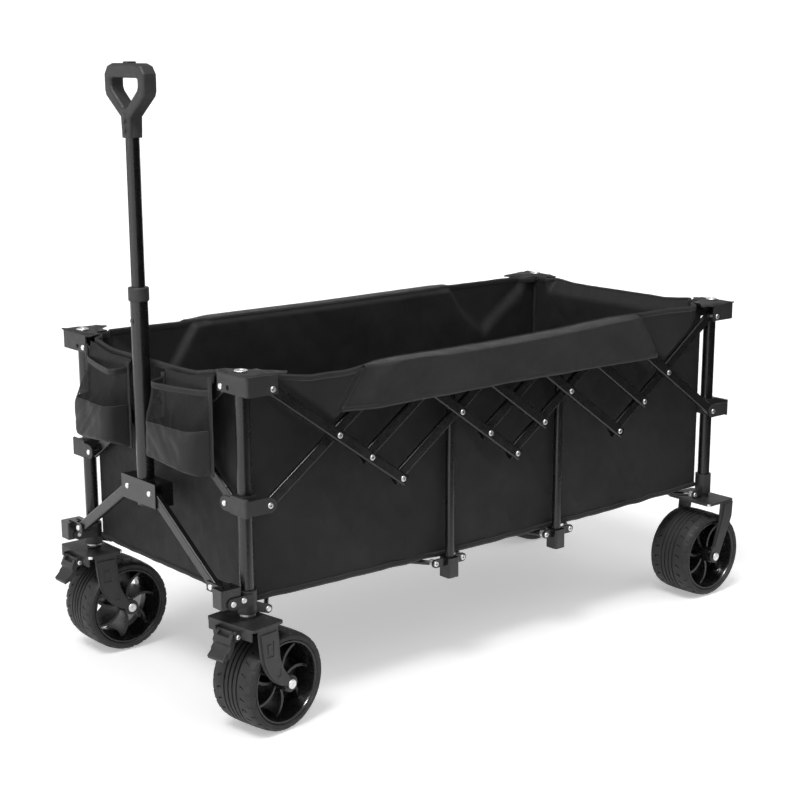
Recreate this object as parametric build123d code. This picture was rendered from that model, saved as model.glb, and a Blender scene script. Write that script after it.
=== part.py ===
from build123d import *
import math
import os

# A folding camp wagon, open for use. Millimetres, +Z up. The origin is on the ground under the
# middle of the wagon. The pull handle is at the -X end, and the near side is at -Y.

# ---------------------------------------------------------------- driving dimensions
POST_SPACING = 1181.0
FRONT_POST_X = -590.0
REAR_POST_X = FRONT_POST_X + POST_SPACING
POST_Y = 261.0
POST_RADIUS = 12.5
POST_WALL = 1.5
POST_BOTTOM_Z = 232.0
POST_TOP_Z = 622.0

TOP_PIVOT_Z = 605.8
SLIDER_PIVOT_Z = 405.5
PIVOT_INSET = 30.5              # lattice end pivot, inboard of the post centre
LATTICE_STEPS = 8               # half-bar steps between the two end pivots

BAR_WIDTH = 20.0
BAR_THICKNESS = 9.0
BAR_WALL = 1.3
BAR_END = 10.0                  # bar length past its end pivot
BAR_EDGE = 3.0                  # outside radius along the edges of a bar
OUTER_BAR_Y = 293.0             # inner face of the outer bar layer
INNER_BAR_Y = 279.5             # inner face of the inner bar layer
RIVET_RADIUS = 3.0
RIVET_HEAD_RADIUS = 5.2
RIVET_HEAD_HEIGHT = 2.2
PIN_CLEARANCE = 0.08
GAP = 0.3

MIDDLE_POST_RADIUS = 8.5
MIDDLE_POST_Y = 268.0
MIDDLE_POST_TOP_Z = 612.0
MIDDLE_POST_BOTTOM_Z = 198.0

BRACKET_BOTTOM_Z = 597.0
BRACKET_TOP_Z = 630.0
BRACKET_OUTER_Y = 306.0
BRACKET_END_OFFSET = 21.0       # end wall, outboard of the post centre
BRACKET_WING = 41.0             # side wall, inboard of the post centre
BRACKET_PLATE = 3.0
BRACKET_SOCKET_Y = (245.0, 277.5)
WALL = 3.5
END_PIVOT_Y = 229.0
SPARE_HOLE_STEP = 21.0
SPARE_HOLE_RADIUS = 4.4

SLIDER_END_OFFSET = 19.5        # end wall, outboard of the post centre
SLIDER_LOW_Z = SLIDER_PIVOT_Z - 14.5
SLIDER_HIGH_Z = SLIDER_PIVOT_Z + 18.0
SLIDER_WALL = 3.2
SLIDER_BODY_Y = (246.5, 275.5)
EAR_RADIUS = 13.0

SLEEVE_RADIUS = 16.5
SLEEVE_Z = (217.0, 258.0)
KINGPIN_RADIUS = 8.0
KINGPIN_SHOULDER = 13.0
KINGPIN_TOP_Z = 229.0
STRAP_Y = (242.8, 276.0)        # inner faces of the two strap ears beside a front sleeve
STRAP_THICKNESS = 3.4
STRAP_RADIUS = 10.0
YOKE_PIN_RADIUS = 4.0

WHEEL_RADIUS = 89.2
TYRE_HALF_WIDTH = 49.0
TYRE_INNER_RADIUS = 73.0
HUB_BOSS_RADIUS = 15.0
HUB_SPOKES = 7
HUB_BLADE_HALF = 30.0
HUB_RIM_INNER = 69.0
HUB_RIM_WAIST = 60.0
AXLE_RADIUS = 6.0
FRONT_TRAIL = 44.0              # front axle behind its swivel axis
REAR_AXLE_OFFSET = -20.0        # rear axle from the rear post centre
FORK_INNER_Y = 54.0
FORK_WALL = 3.5
FORK_PLATE_TOP_Z = 208.0
FORK_PLATE_THICKNESS = 5.0
NEAR_CASTER_ANGLE = 9.0
PEDAL_PIN = (-47.0, 191.0)      # x and z of a brake pedal's pin, about the swivel axis
PEDAL_PIN_RADIUS = 2.5
COVER = 2.2                     # thickness of the cover that lies on a fork arm

SPOKE_Z = 217.5
SPOKE_RADIUS = 4.5
SPOKE_END_Y = 262.0
LUG_Y = 267.3
LUG_OUTER_Y = 271.3
FLOOR_Z = 226.0
PANEL_Y = 248.0

HANDLE_X = FRONT_POST_X - 33.0
TUBE_RIVET_RADIUS = 4.6
YOKE_PIVOT_X = FRONT_POST_X - 40.0
YOKE_PIVOT_Z = 244.0
LOWER_TUBE_RADIUS = 15.5
UPPER_TUBE_RADIUS = 12.0
LOWER_TUBE_BOTTOM_Z = 357.0
COLLAR_Z = 738.0

LATTICE_X0 = FRONT_POST_X + PIVOT_INSET
LATTICE_X1 = REAR_POST_X - PIVOT_INSET
STEP = (LATTICE_X1 - LATTICE_X0) / LATTICE_STEPS
LATTICE_HEIGHT = TOP_PIVOT_Z - SLIDER_PIVOT_Z


# ---------------------------------------------------------------- helpers
def block(x0, x1, y0, y1, z0, z1):
    """A box between two corners, given in any order."""
    size = (abs(x1 - x0), abs(y1 - y0), abs(z1 - z0))
    return Pos((x0 + x1) / 2, (y0 + y1) / 2, (z0 + z1) / 2) * Box(*size)


def rod_x(y, z, x0, x1, radius):
    """A cylinder along X."""
    return Pos((x0 + x1) / 2, y, z) * Rot(0, 90, 0) * Cylinder(radius, abs(x1 - x0))


def rod_y(x, z, y0, y1, radius):
    """A cylinder along Y."""
    return Pos(x, (y0 + y1) / 2, z) * Rot(90, 0, 0) * Cylinder(radius, abs(y1 - y0))


def rod_z(x, y, z0, z1, radius):
    """A cylinder along Z."""
    return Pos(x, y, (z0 + z1) / 2) * Cylinder(radius, abs(z1 - z0))


def tube_z(x, y, z0, z1, radius, wall):
    """An open round tube along Z."""
    return rod_z(x, y, z0, z1, radius) - rod_z(x, y, z0 - 1, z1 + 1, radius - wall)


def rod_between(start, end, radius):
    """A cylinder between two points."""
    a = Vector(*start)
    b = Vector(*end)
    plane = Plane(origin=a, z_dir=(b - a).normalized())
    return plane * Pos(0, 0, (b - a).length / 2) * Cylinder(radius, (b - a).length)


def profile_y(points, y0, y1):
    """A closed outline of (x, z) points, filled and carried along Y."""
    low = min(y0, y1)
    outline = Polyline(*[(x, low, z) for x, z in points], close=True)
    return extrude(make_face(outline), amount=abs(y1 - y0), dir=(0, 1, 0))


def profile_x(points, x0, x1):
    """A closed outline of (y, z) points, filled and carried along X."""
    low = min(x0, x1)
    outline = Polyline(*[(low, y, z) for y, z in points], close=True)
    return extrude(make_face(outline), amount=abs(x1 - x0), dir=(1, 0, 0))


def solids(*shapes):
    """Every solid of the shapes given, as one flat list."""
    found = []
    for shape in shapes:
        if isinstance(shape, (list, tuple)):
            found.extend(solids(*shape))
        else:
            found.extend(shape.solids())
    return found


def save(node, *shapes):
    """Write one node's solids to its own STEP file."""
    export_step(Compound(children=solids(*shapes)), os.path.join("parts", node + ".step"))


def rivet_head_y(x, z, face_y, side, radius=RIVET_HEAD_RADIUS):
    """A domed rivet head that stands on an outer face, with a dimple in its middle."""
    rim = rod_y(x, z, face_y, face_y + side * RIVET_HEAD_HEIGHT, radius)
    edge = rim.edges().filter_by(GeomType.CIRCLE).sort_by(Axis.Y)
    rim = fillet(edge[-1] if side > 0 else edge[0], RIVET_HEAD_HEIGHT * 0.7)
    tip = face_y + side * RIVET_HEAD_HEIGHT
    return rim - rod_y(x, z, tip - side * 0.8, tip + side * 0.5, radius * 0.3)


def rivet_head_x(y, z, face_x, side, radius=RIVET_HEAD_RADIUS):
    """A domed bolt head on a face that looks along X."""
    rim = rod_x(y, z, face_x, face_x + side * RIVET_HEAD_HEIGHT, radius)
    edge = rim.edges().filter_by(GeomType.CIRCLE).sort_by(Axis.X)
    return fillet(edge[-1] if side > 0 else edge[0], RIVET_HEAD_HEIGHT * 0.7)


# ---------------------------------------------------------------- side lattices
def lattice_point(step, level):
    """A lattice pivot: step counts half bars from the front, level is 0 at the sliders, 1 at the top."""
    return LATTICE_X0 + step * STEP, SLIDER_PIVOT_Z + level * LATTICE_HEIGHT


# Every lattice bar as its two end pivots. Falling bars lie in the outer layer, rising bars in the inner.
FALLING_BARS = {
    "lattice_bar_a1": ((0, 1), (2, 0)),
    "lattice_bar_a2": ((2, 1), (4, 0)),
    "lattice_bar_c": ((3.5, 0.75), (4.5, 0.25)),
    "lattice_bar_a3": ((4.5, 0.75), (6, 0)),
    "lattice_bar_d": ((5.5, 0.75), (6.5, 0.25)),
    "lattice_bar_a4": ((6, 1), (8, 0)),
}
RISING_BARS = {
    "lattice_bar_b1": ((0, 0), (2, 1)),
    "lattice_bar_p1": ((1.5, 0.25), (2.5, 0.75)),
    "lattice_bar_b2": ((2, 0), (3.5, 0.75)),
    "lattice_bar_p2": ((3.5, 0.25), (4.5, 0.75)),
    "lattice_bar_b3": ((4, 0), (6, 1)),
    "lattice_bar_b4": ((6, 0), (8, 1)),
}
# Pivots where a falling bar and a rising bar are riveted together.
CROSSINGS = [
    (1, 0.5), (2, 0), (1.5, 0.25), (2, 1), (2.5, 0.75), (3, 0.5), (3.5, 0.25), (4, 0),
    (3.5, 0.75), (4.5, 0.25), (4.5, 0.75), (5, 0.5), (6, 0), (5.5, 0.75), (6.5, 0.25),
    (6, 1), (7, 0.5),
]


def on_bar(pivot, bar):
    """Whether a pivot lies on a bar, ends included."""
    (s0, l0), (s1, l1) = bar
    if not min(s0, s1) <= pivot[0] <= max(s0, s1):
        return False
    return abs(l0 + (l1 - l0) * (pivot[0] - s0) / (s1 - s0) - pivot[1]) < 1e-6


def bar_pivots(bar):
    """Every pivot along a bar: its two ends and the crossings on it."""
    return sorted({bar[0], bar[1], *[p for p in CROSSINGS if on_bar(p, bar)]})


def lattice_tube(bar, side, layer_y, hole_radius):
    """One rectangular tube of the lattice, drilled at each of its pivots."""
    start = lattice_point(*bar[0])
    end = lattice_point(*bar[1])
    length = math.dist(start, end) + 2 * BAR_END
    tilt = math.degrees(math.atan2(end[1] - start[1], end[0] - start[0]))
    tube = Box(length, BAR_THICKNESS, BAR_WIDTH)
    tube = fillet(tube.edges().filter_by(Axis.X), BAR_EDGE)
    tube -= Box(length + 2, BAR_THICKNESS - 2 * BAR_WALL, BAR_WIDTH - 2 * BAR_WALL)
    middle_y = side * (layer_y + BAR_THICKNESS / 2)
    middle = ((start[0] + end[0]) / 2, middle_y, (start[1] + end[1]) / 2)
    tube = Pos(*middle) * Rot(0, -tilt, 0) * tube
    for pivot in bar_pivots(bar):
        x, z = lattice_point(*pivot)
        tube -= rod_y(x, z, middle_y - BAR_THICKNESS, middle_y + BAR_THICKNESS, hole_radius)
    return tube


def lattice_rivet(pivot, side):
    """A rivet through both layers: its head outside, its spread tail inside."""
    x, z = lattice_point(*pivot)
    outer = side * (OUTER_BAR_Y + BAR_THICKNESS)
    inner = side * (INNER_BAR_Y - GAP)
    rivet = rivet_head_y(x, z, outer, side)
    rivet += rod_y(x, z, outer, inner, RIVET_RADIUS)
    return rivet + rod_y(x, z, inner, inner - side * 1.4, RIVET_RADIUS + 1.6)


def make_lattices():
    """Near and far bars of one name share a node. Each rivet stays with its falling bar."""
    owned = set()
    for node, bar in FALLING_BARS.items():
        shapes = []
        pivots = [p for p in bar_pivots(bar) if p in CROSSINGS and p not in owned]
        owned.update(pivots)
        for side in (-1, 1):
            shapes.append(lattice_tube(bar, side, OUTER_BAR_Y, RIVET_RADIUS))
            shapes.extend(lattice_rivet(p, side) for p in pivots)
        save(node, shapes)
    for node, bar in RISING_BARS.items():
        hole = RIVET_RADIUS + PIN_CLEARANCE
        save(node, [lattice_tube(bar, side, INNER_BAR_Y, hole) for side in (-1, 1)])


# ---------------------------------------------------------------- corner posts and brackets
def corner_posts(post_x):
    """The two round posts at one end."""
    return [tube_z(post_x, side * POST_Y, POST_BOTTOM_Z, POST_TOP_Z, POST_RADIUS, POST_WALL)
            for side in (-1, 1)]


def top_bracket(post_x, inward, side):
    """The L-shaped cap on a post: a socket, an end wall, a side wall and a top plate."""
    end = post_x - inward * BRACKET_END_OFFSET
    wing = post_x + inward * BRACKET_WING
    outer = side * BRACKET_OUTER_Y
    low, high = BRACKET_BOTTOM_Z, BRACKET_TOP_Z
    under = high - BRACKET_PLATE
    socket = [side * y for y in BRACKET_SOCKET_Y]
    shape = block(end, end + inward * WALL, side * (END_PIVOT_Y - 10), outer, low, high)
    shape += block(end, wing, outer - side * WALL, outer, low, high)
    shape += block(end, wing, side * 246, outer, under, high)
    shape += block(end, post_x + inward * 8, side * (END_PIVOT_Y - 10), outer, under, high)
    shape += block(end, post_x + inward * 15, *socket, low + 3, high)
    corner = shape.edges().filter_by(Axis.Z)
    outer_corner = [e for e in corner
                    if abs(e.center().X - end) < 0.01 and abs(e.center().Y - outer) < 0.01]
    shape = fillet(outer_corner, 6)
    shape -= rod_z(post_x, side * POST_Y, low - 1, POST_TOP_Z, POST_RADIUS + 0.05)
    pivot_x = post_x + inward * PIVOT_INSET
    shape -= rod_y(pivot_x, TOP_PIVOT_Z, outer - side * 5, outer + side, RIVET_RADIUS)
    shape -= rod_x(side * END_PIVOT_Y, TOP_PIVOT_Z, end - 5, end + 5, RIVET_RADIUS)
    spare_y = side * (END_PIVOT_Y + SPARE_HOLE_STEP)
    return shape - rod_x(spare_y, TOP_PIVOT_Z, end - inward, end + inward * WALL, SPARE_HOLE_RADIUS)


def slider(post_x, inward, side, ear_y):
    """The L-shaped collar that rides on a post, with a rounded ear along each wall."""
    end = post_x - inward * SLIDER_END_OFFSET
    low, high = SLIDER_LOW_Z, SLIDER_HIGH_Z
    ear_low, ear_high = low + 2, high - 4
    outer = side * (ear_y + SLIDER_WALL)
    ear_x = post_x + inward * PIVOT_INSET
    body = [side * y for y in SLIDER_BODY_Y]
    shape = block(end, post_x + inward * 15, *body, low, high)
    shape += block(end, end + inward * 3, side * END_PIVOT_Y, outer, ear_low, ear_high)
    shape += rod_x(side * END_PIVOT_Y, SLIDER_PIVOT_Z, end, end + inward * 3, EAR_RADIUS)
    shape += block(end, ear_x, outer, side * ear_y, ear_low, ear_high)
    shape += rod_y(ear_x, SLIDER_PIVOT_Z, side * ear_y, outer, EAR_RADIUS)
    shape += block(end, post_x - inward * 13.5, side * 270, outer, low, high)
    corner = [e for e in shape.edges().filter_by(Axis.Z)
              if abs(e.center().X - end) < 0.01 and abs(e.center().Y - outer) < 0.01]
    shape = fillet(corner, 5)
    shape -= rod_z(post_x, side * POST_Y, low - 1, high + 1, POST_RADIUS + GAP)
    shape -= rod_y(ear_x, SLIDER_PIVOT_Z, outer + side, side * (ear_y - 1), RIVET_RADIUS)
    return shape - rod_x(side * END_PIVOT_Y, SLIDER_PIVOT_Z, end - 4, end + 4, RIVET_RADIUS)


def pivot_bolt_y(x, z, head_face, tail, side):
    """A bolt along Y whose domed head stands on head_face and whose shank ends at tail."""
    return rivet_head_y(x, z, side * head_face, side) + rod_y(x, z, side * head_face,
                                                              side * tail, RIVET_RADIUS)


def slider_bolts(post_x, inward, ear_y):
    """The ear bolts of both sliders at one end."""
    ear_x = post_x + inward * PIVOT_INSET
    return [pivot_bolt_y(ear_x, SLIDER_PIVOT_Z, ear_y + SLIDER_WALL, INNER_BAR_Y - 1, side)
            for side in (-1, 1)]


def bracket_bolts(post_x, inward):
    """Side pivot bolts and end wall bolts of both top brackets at one end."""
    pivot_x = post_x + inward * PIVOT_INSET
    end = post_x - inward * BRACKET_END_OFFSET
    bolts = []
    for side in (-1, 1):
        bolts.append(pivot_bolt_y(pivot_x, TOP_PIVOT_Z, BRACKET_OUTER_Y, INNER_BAR_Y - 1, side))
        head = rivet_head_x(side * END_PIVOT_Y, TOP_PIVOT_Z, end, -inward)
        tail = post_x + inward * 4
        bolts.append(head + rod_x(side * END_PIVOT_Y, TOP_PIVOT_Z, end, tail, RIVET_RADIUS))
    return bolts


# ---------------------------------------------------------------- end scissors
def end_bar(start, end, x0, x1, holes):
    """A flat end bar between two (y, z) pivots, drilled at the (y, z) holes given."""
    length = math.dist(start, end) + 2 * BAR_END
    tilt = math.degrees(math.atan2(end[1] - start[1], end[0] - start[0]))
    thickness = abs(x1 - x0)
    tube = Box(thickness, length, BAR_WIDTH)
    tube = fillet(tube.edges().filter_by(Axis.Y), min(BAR_EDGE, 0.4 * thickness))
    tube -= Box(thickness - 2 * BAR_WALL, length + 2, BAR_WIDTH - 2 * BAR_WALL)
    middle = ((x0 + x1) / 2, (start[0] + end[0]) / 2, (start[1] + end[1]) / 2)
    tube = Pos(*middle) * Rot(tilt, 0, 0) * tube
    for y, z in holes:
        tube -= rod_x(y, z, x0 - 20, x1 + 20, RIVET_RADIUS + PIN_CLEARANCE)
    return tube


def end_levels():
    """Heights of the two centre pins and of the crossings of the end scissors."""
    upper = SLIDER_PIVOT_Z + 0.75 * LATTICE_HEIGHT
    lower = SLIDER_PIVOT_Z + 0.25 * LATTICE_HEIGHT
    middle = SLIDER_PIVOT_Z + 0.5 * LATTICE_HEIGHT
    return lower, middle, upper


def upper_end_bars(post_x, inward):
    """The two bars that hang from the top brackets and meet at the lower centre pin."""
    lower, middle, _ = end_levels()
    outer = post_x - inward * 16.8
    face = post_x - inward * 9.3
    deep = post_x + inward * 2.5
    shapes = []
    for side in (-1, 1):
        start = (side * END_PIVOT_Y, TOP_PIVOT_Z)
        stop = (side * 8, lower + 4)
        cross = (side * END_PIVOT_Y / 3, middle)
        bar = end_bar(start, (side * 12, lower + 7.9), outer, face, [start, cross, stop])
        shapes.append(bar)
        pin = rivet_head_x(cross[0], cross[1], outer, -inward)
        pin += rod_x(cross[0], cross[1], outer, deep + inward, RIVET_RADIUS)
        shapes.append(pin)
    return shapes


def lower_end_bars(post_x, inward):
    """The two bars that rise from the sliders and meet at the upper centre pin."""
    _, middle, upper = end_levels()
    outer = post_x - inward * 5.3
    deep = post_x + inward * 2.2
    shapes = []
    for side in (-1, 1):
        start = (side * END_PIVOT_Y, SLIDER_PIVOT_Z)
        cross = (side * END_PIVOT_Y / 3, middle)
        shapes.append(end_bar(start, (side * 12, upper - 7.9), outer, deep, [start, cross]))
        end_face = post_x - inward * SLIDER_END_OFFSET
        bolt = rivet_head_x(start[0], start[1], end_face, -inward)
        shapes.append(bolt + rod_x(start[0], start[1], end_face, deep, RIVET_RADIUS))
    return shapes


# ---------------------------------------------------------------- lower fittings
def post_sleeve(post_x, side):
    """The plastic sleeve under a post, with a bore for the caster's kingpin."""
    bottom, top = SLEEVE_Z
    y = side * POST_Y
    sleeve = rod_z(post_x, y, bottom, top, SLEEVE_RADIUS)
    sleeve -= rod_z(post_x, y, POST_BOTTOM_Z, top + 2, POST_RADIUS + 0.05)
    return sleeve - rod_z(post_x, y, bottom - 1, POST_BOTTOM_Z + 1, KINGPIN_RADIUS + PIN_CLEARANCE)


def front_lower_fitting(side):
    """Sleeve, strap ears for the handle yoke, and the lug for the first floor spoke."""
    shape = post_sleeve(FRONT_POST_X, side)
    low, high = YOKE_PIVOT_Z - STRAP_RADIUS, YOKE_PIVOT_Z + STRAP_RADIUS
    for y in STRAP_Y:
        faces = (side * y, side * (y + STRAP_THICKNESS))
        shape += block(YOKE_PIVOT_X, FRONT_POST_X, *faces, low, high)
        shape += rod_y(YOKE_PIVOT_X, YOKE_PIVOT_Z, *faces, STRAP_RADIUS)
    shape -= rod_z(FRONT_POST_X, side * POST_Y, POST_BOTTOM_Z, SLEEVE_Z[1] + 2, POST_RADIUS + 0.05)
    return shape - rod_y(YOKE_PIVOT_X, YOKE_PIVOT_Z, side * 240, side * 282, YOKE_PIN_RADIUS)


# ---------------------------------------------------------------- middle posts and floor spokes
MIDDLE_STEPS = {"middle_post_front": 3, "middle_post_rear": 5}
FOOT_LONG_REACH = 36.0
FOOT_SHORT_REACH = 30.0


def spoke_bolt(x, side):
    """The bolt that carries the eye of a floor spoke on a single lug."""
    head = rivet_head_y(x, SPOKE_Z, side * LUG_OUTER_Y, side)
    return head + rod_y(x, SPOKE_Z, side * (SPOKE_END_Y - 6), side * LUG_OUTER_Y, RIVET_RADIUS)


def middle_post(step, side):
    """A slim post beside the lattice, with a plastic foot that has a lug on each side."""
    x, _ = lattice_point(step, 0.5)
    y = side * MIDDLE_POST_Y
    post = tube_z(x, y, MIDDLE_POST_BOTTOM_Z, MIDDLE_POST_TOP_Z, MIDDLE_POST_RADIUS, POST_WALL)
    foot = block(x - 13, x + 13, side * 252.5, side * 281, 186, 224)
    foot = fillet(foot.edges().filter_by(Axis.Z), 4)
    toward_front = FOOT_LONG_REACH if step == 3 else FOOT_SHORT_REACH
    toward_rear = FOOT_SHORT_REACH if step == 3 else FOOT_LONG_REACH
    for reach in (-toward_front, toward_rear):
        foot += block(x, x + reach, side * LUG_Y, side * LUG_OUTER_Y, SPOKE_Z - 8, SPOKE_Z + 8)
        foot += rod_y(x + reach, SPOKE_Z, side * LUG_Y, side * LUG_OUTER_Y, 8)
        foot -= rod_y(x + reach, SPOKE_Z, side * LUG_Y, side * LUG_OUTER_Y, RIVET_RADIUS)
    foot -= rod_z(x, y, MIDDLE_POST_BOTTOM_Z, 230, MIDDLE_POST_RADIUS + 0.05)
    bolts = [spoke_bolt(x + reach, side) for reach in (-toward_front, toward_rear)]
    return [post, foot, bolts]


def spoke_pair(hinge_x, direction, half_bay, short, hub):
    """A near and a far floor spoke that share a hinge line and point at the floor hub."""
    shapes = []
    slope = SPOKE_END_Y / half_bay
    tip_x = hinge_x + direction * (half_bay - short)
    for side in (-1, 1):
        tip_y = side * max(short * slope, 5)
        root = (hinge_x + direction * 4, side * (SPOKE_END_Y - 4), SPOKE_Z)
        spoke = rod_between(root, (tip_x, tip_y, SPOKE_Z), SPOKE_RADIUS)
        spoke += rod_y(hinge_x, SPOKE_Z, side * (SPOKE_END_Y - 5), side * (SPOKE_END_Y + 5), 6.5)
        spoke -= rod_y(hinge_x, SPOKE_Z, side * (SPOKE_END_Y - 20), side * (SPOKE_END_Y + 6),
                       RIVET_RADIUS + PIN_CLEARANCE)
        shapes.append(spoke)
    if hub:
        joined = shapes[0] + shapes[1] + rod_z(tip_x, 0, SPOKE_Z - 5, SPOKE_Z + 5, 16)
        return [joined]
    return shapes


def floor_bays():
    """Each floor bay as its front hinge, its rear hinge and the shortfall of its rear spokes."""
    first, _ = lattice_point(3, 0)
    second, _ = lattice_point(5, 0)
    front = (FRONT_POST_X + FOOT_LONG_REACH, first - FOOT_LONG_REACH, 62.0)
    centre = (first + FOOT_SHORT_REACH, second - FOOT_SHORT_REACH, 42.0)
    rear = (second + FOOT_LONG_REACH, REAR_POST_X - FOOT_LONG_REACH, 62.0)
    return {"front": front, "centre": centre, "rear": rear}


def make_floor_spokes():
    """Two spoke pairs in each floor bay."""
    for bay, (front_hinge, rear_hinge, short) in floor_bays().items():
        half = (rear_hinge - front_hinge) / 2
        save(f"floor_spokes_{bay}_a", spoke_pair(front_hinge, 1, half, 0.0, True))
        save(f"floor_spokes_{bay}_b", spoke_pair(rear_hinge, -1, half, short, False))


def end_spoke_lug(post_x, inward, side):
    """The lug that holds a floor spoke beside a corner sleeve."""
    pivot_x = post_x + inward * FOOT_LONG_REACH
    near_x = post_x + inward * 12
    outline = [(near_x, 217.5), (pivot_x, SPOKE_Z - 8), (pivot_x, SPOKE_Z + 8), (near_x, 236)]
    lug = profile_y(outline, side * LUG_Y, side * LUG_OUTER_Y)
    lug += rod_y(pivot_x, SPOKE_Z, side * LUG_Y, side * LUG_OUTER_Y, 8)
    lug -= rod_y(pivot_x, SPOKE_Z, side * LUG_Y, side * LUG_OUTER_Y, RIVET_RADIUS)
    return lug - rod_z(post_x, side * POST_Y, 200, 260, 14)


# ---------------------------------------------------------------- wheels and forks
def tyre_profile():
    """Half section of the tyre as (radius, width) points, with four grooves round the middle."""
    crown = WHEEL_RADIUS
    groove = 2.6
    points = [(TYRE_INNER_RADIUS, -TYRE_HALF_WIDTH + 4), (TYRE_INNER_RADIUS + 3, -TYRE_HALF_WIDTH)]
    points += [(crown - 7, -TYRE_HALF_WIDTH), (crown - 2.5, -TYRE_HALF_WIDTH + 4)]
    points += [(crown - 0.7, -TYRE_HALF_WIDTH + 14)]
    for middle in (-15, -5, 5, 15):
        points += [(crown, middle - 2), (crown - groove, middle - 1.4)]
        points += [(crown - groove, middle + 1.4), (crown, middle + 2)]
    points += [(r, -w) for r, w in reversed(points[:5])]
    return points


def make_tyre():
    """One tyre about the Y axis, with dashes and shoulder notches cut in its tread."""
    outline = Polyline(*[(r, w, 0) for r, w in tyre_profile()], close=True)
    tyre = revolve(make_face(outline), axis=Axis.Y, revolution_arc=360)
    cuts = []
    count = 26
    for index in range(count):
        angle = 360 / count * index
        for side in (-1, 1):
            turn = angle + (180 / count if side > 0 else 0)
            notch = Pos(WHEEL_RADIUS, side * 45, 0) * Rot(0, 0, side * 20) * Box(8, 13, 5)
            dash = Pos(WHEEL_RADIUS, side * 28, 0) * Rot(side * 24, 0, 0) * Box(5, 11, 3.2)
            cuts += [Rot(0, turn, 0) * notch, Rot(0, turn + 180 / count, 0) * dash]
    return tyre - cuts


def hub_blade():
    """One curved spoke of a hub, from the boss out to the rim."""
    root, tip = 9, 66
    leading = ThreePointArc((root, 0, 0), (36, 0, 16), (tip, 0, 8))
    trailing = ThreePointArc((tip, 0, 3), (36, 0, 10.5), (root, 0, -5))
    edges = [leading, Line((tip, 0, 8), (tip, 0, 3)), trailing, Line((root, 0, -5), (root, 0, 0))]
    return extrude(make_face(edges), amount=HUB_BLADE_HALF, dir=(0, 1, 0), both=True)


def make_hub():
    """The solids of one dished hub about the Y axis: a deep rim, a boss and curved spokes."""
    half = TYRE_HALF_WIDTH - 2
    lip, waist = HUB_RIM_INNER, HUB_RIM_WAIST
    rim_points = [(TYRE_INNER_RADIUS, -half), (TYRE_INNER_RADIUS, half), (lip + 1, half),
                  (lip, half - 2), (waist, 8), (waist, -8), (lip, 2 - half), (lip + 1, -half)]
    rim = revolve(make_face(Polyline(*[(r, w, 0) for r, w in rim_points], close=True)), axis=Axis.Y)
    boss = rod_y(0, 0, -50, 50, HUB_BOSS_RADIUS)
    blade = hub_blade() - rim - boss
    boss -= rod_y(0, 0, -60, 60, AXLE_RADIUS + PIN_CLEARANCE)
    blades = [Rot(0, 360 / HUB_SPOKES * index, 0) * blade for index in range(HUB_SPOKES)]
    return solids(rim, boss, blades)


def axle_bolt(x, y_middle):
    """The axle bolt of one wheel, with a head and a nut outside the fork arms."""
    face = FORK_INNER_Y + FORK_WALL + COVER
    bolt = rod_y(x, WHEEL_RADIUS, y_middle - face, y_middle + face, AXLE_RADIUS)
    for side in (-1, 1):
        head = rivet_head_y(x, WHEEL_RADIUS, y_middle + side * face, side, 8.5)
        bolt += head
    return bolt


def curved_arm(y0, y1, inset):
    """A curved trailing fork arm; inset shrinks the outline for the cover that lies on it."""
    top = FORK_PLATE_TOP_Z - FORK_PLATE_THICKNESS - 2 * inset
    eye = 14.5 - inset
    front = [(-30 + inset, top), (-25 + inset, 158), (FRONT_TRAIL - eye, WHEEL_RADIUS)]
    back = [(FRONT_TRAIL + eye, WHEEL_RADIUS + 1), (19 - inset, 150), (15 - inset, top)]
    low = min(y0, y1)
    to3 = [(x, low, z) for x, z in front + back]
    edges = [
        ThreePointArc(to3[0], (-28 + inset, low, 180), to3[1]),
        ThreePointArc(to3[1], (-10 + inset, low, 118), to3[2]),
        Line(to3[2], to3[3]),
        ThreePointArc(to3[3], (30 - inset, low, 118), to3[4]),
        Line(to3[4], to3[5]),
        Line(to3[5], to3[0]),
    ]
    arm = extrude(make_face(edges), amount=abs(y1 - y0), dir=(0, 1, 0))
    return arm + rod_y(FRONT_TRAIL, WHEEL_RADIUS, y0, y1, eye)


def kingpin(x, y, shoulder_z):
    """The pin that stands on a caster plate, with a shoulder under the post sleeve."""
    pin = rod_z(x, y, FORK_PLATE_TOP_Z, shoulder_z, KINGPIN_SHOULDER)
    return pin + rod_z(x, y, shoulder_z, KINGPIN_TOP_Z, KINGPIN_RADIUS)


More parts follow.
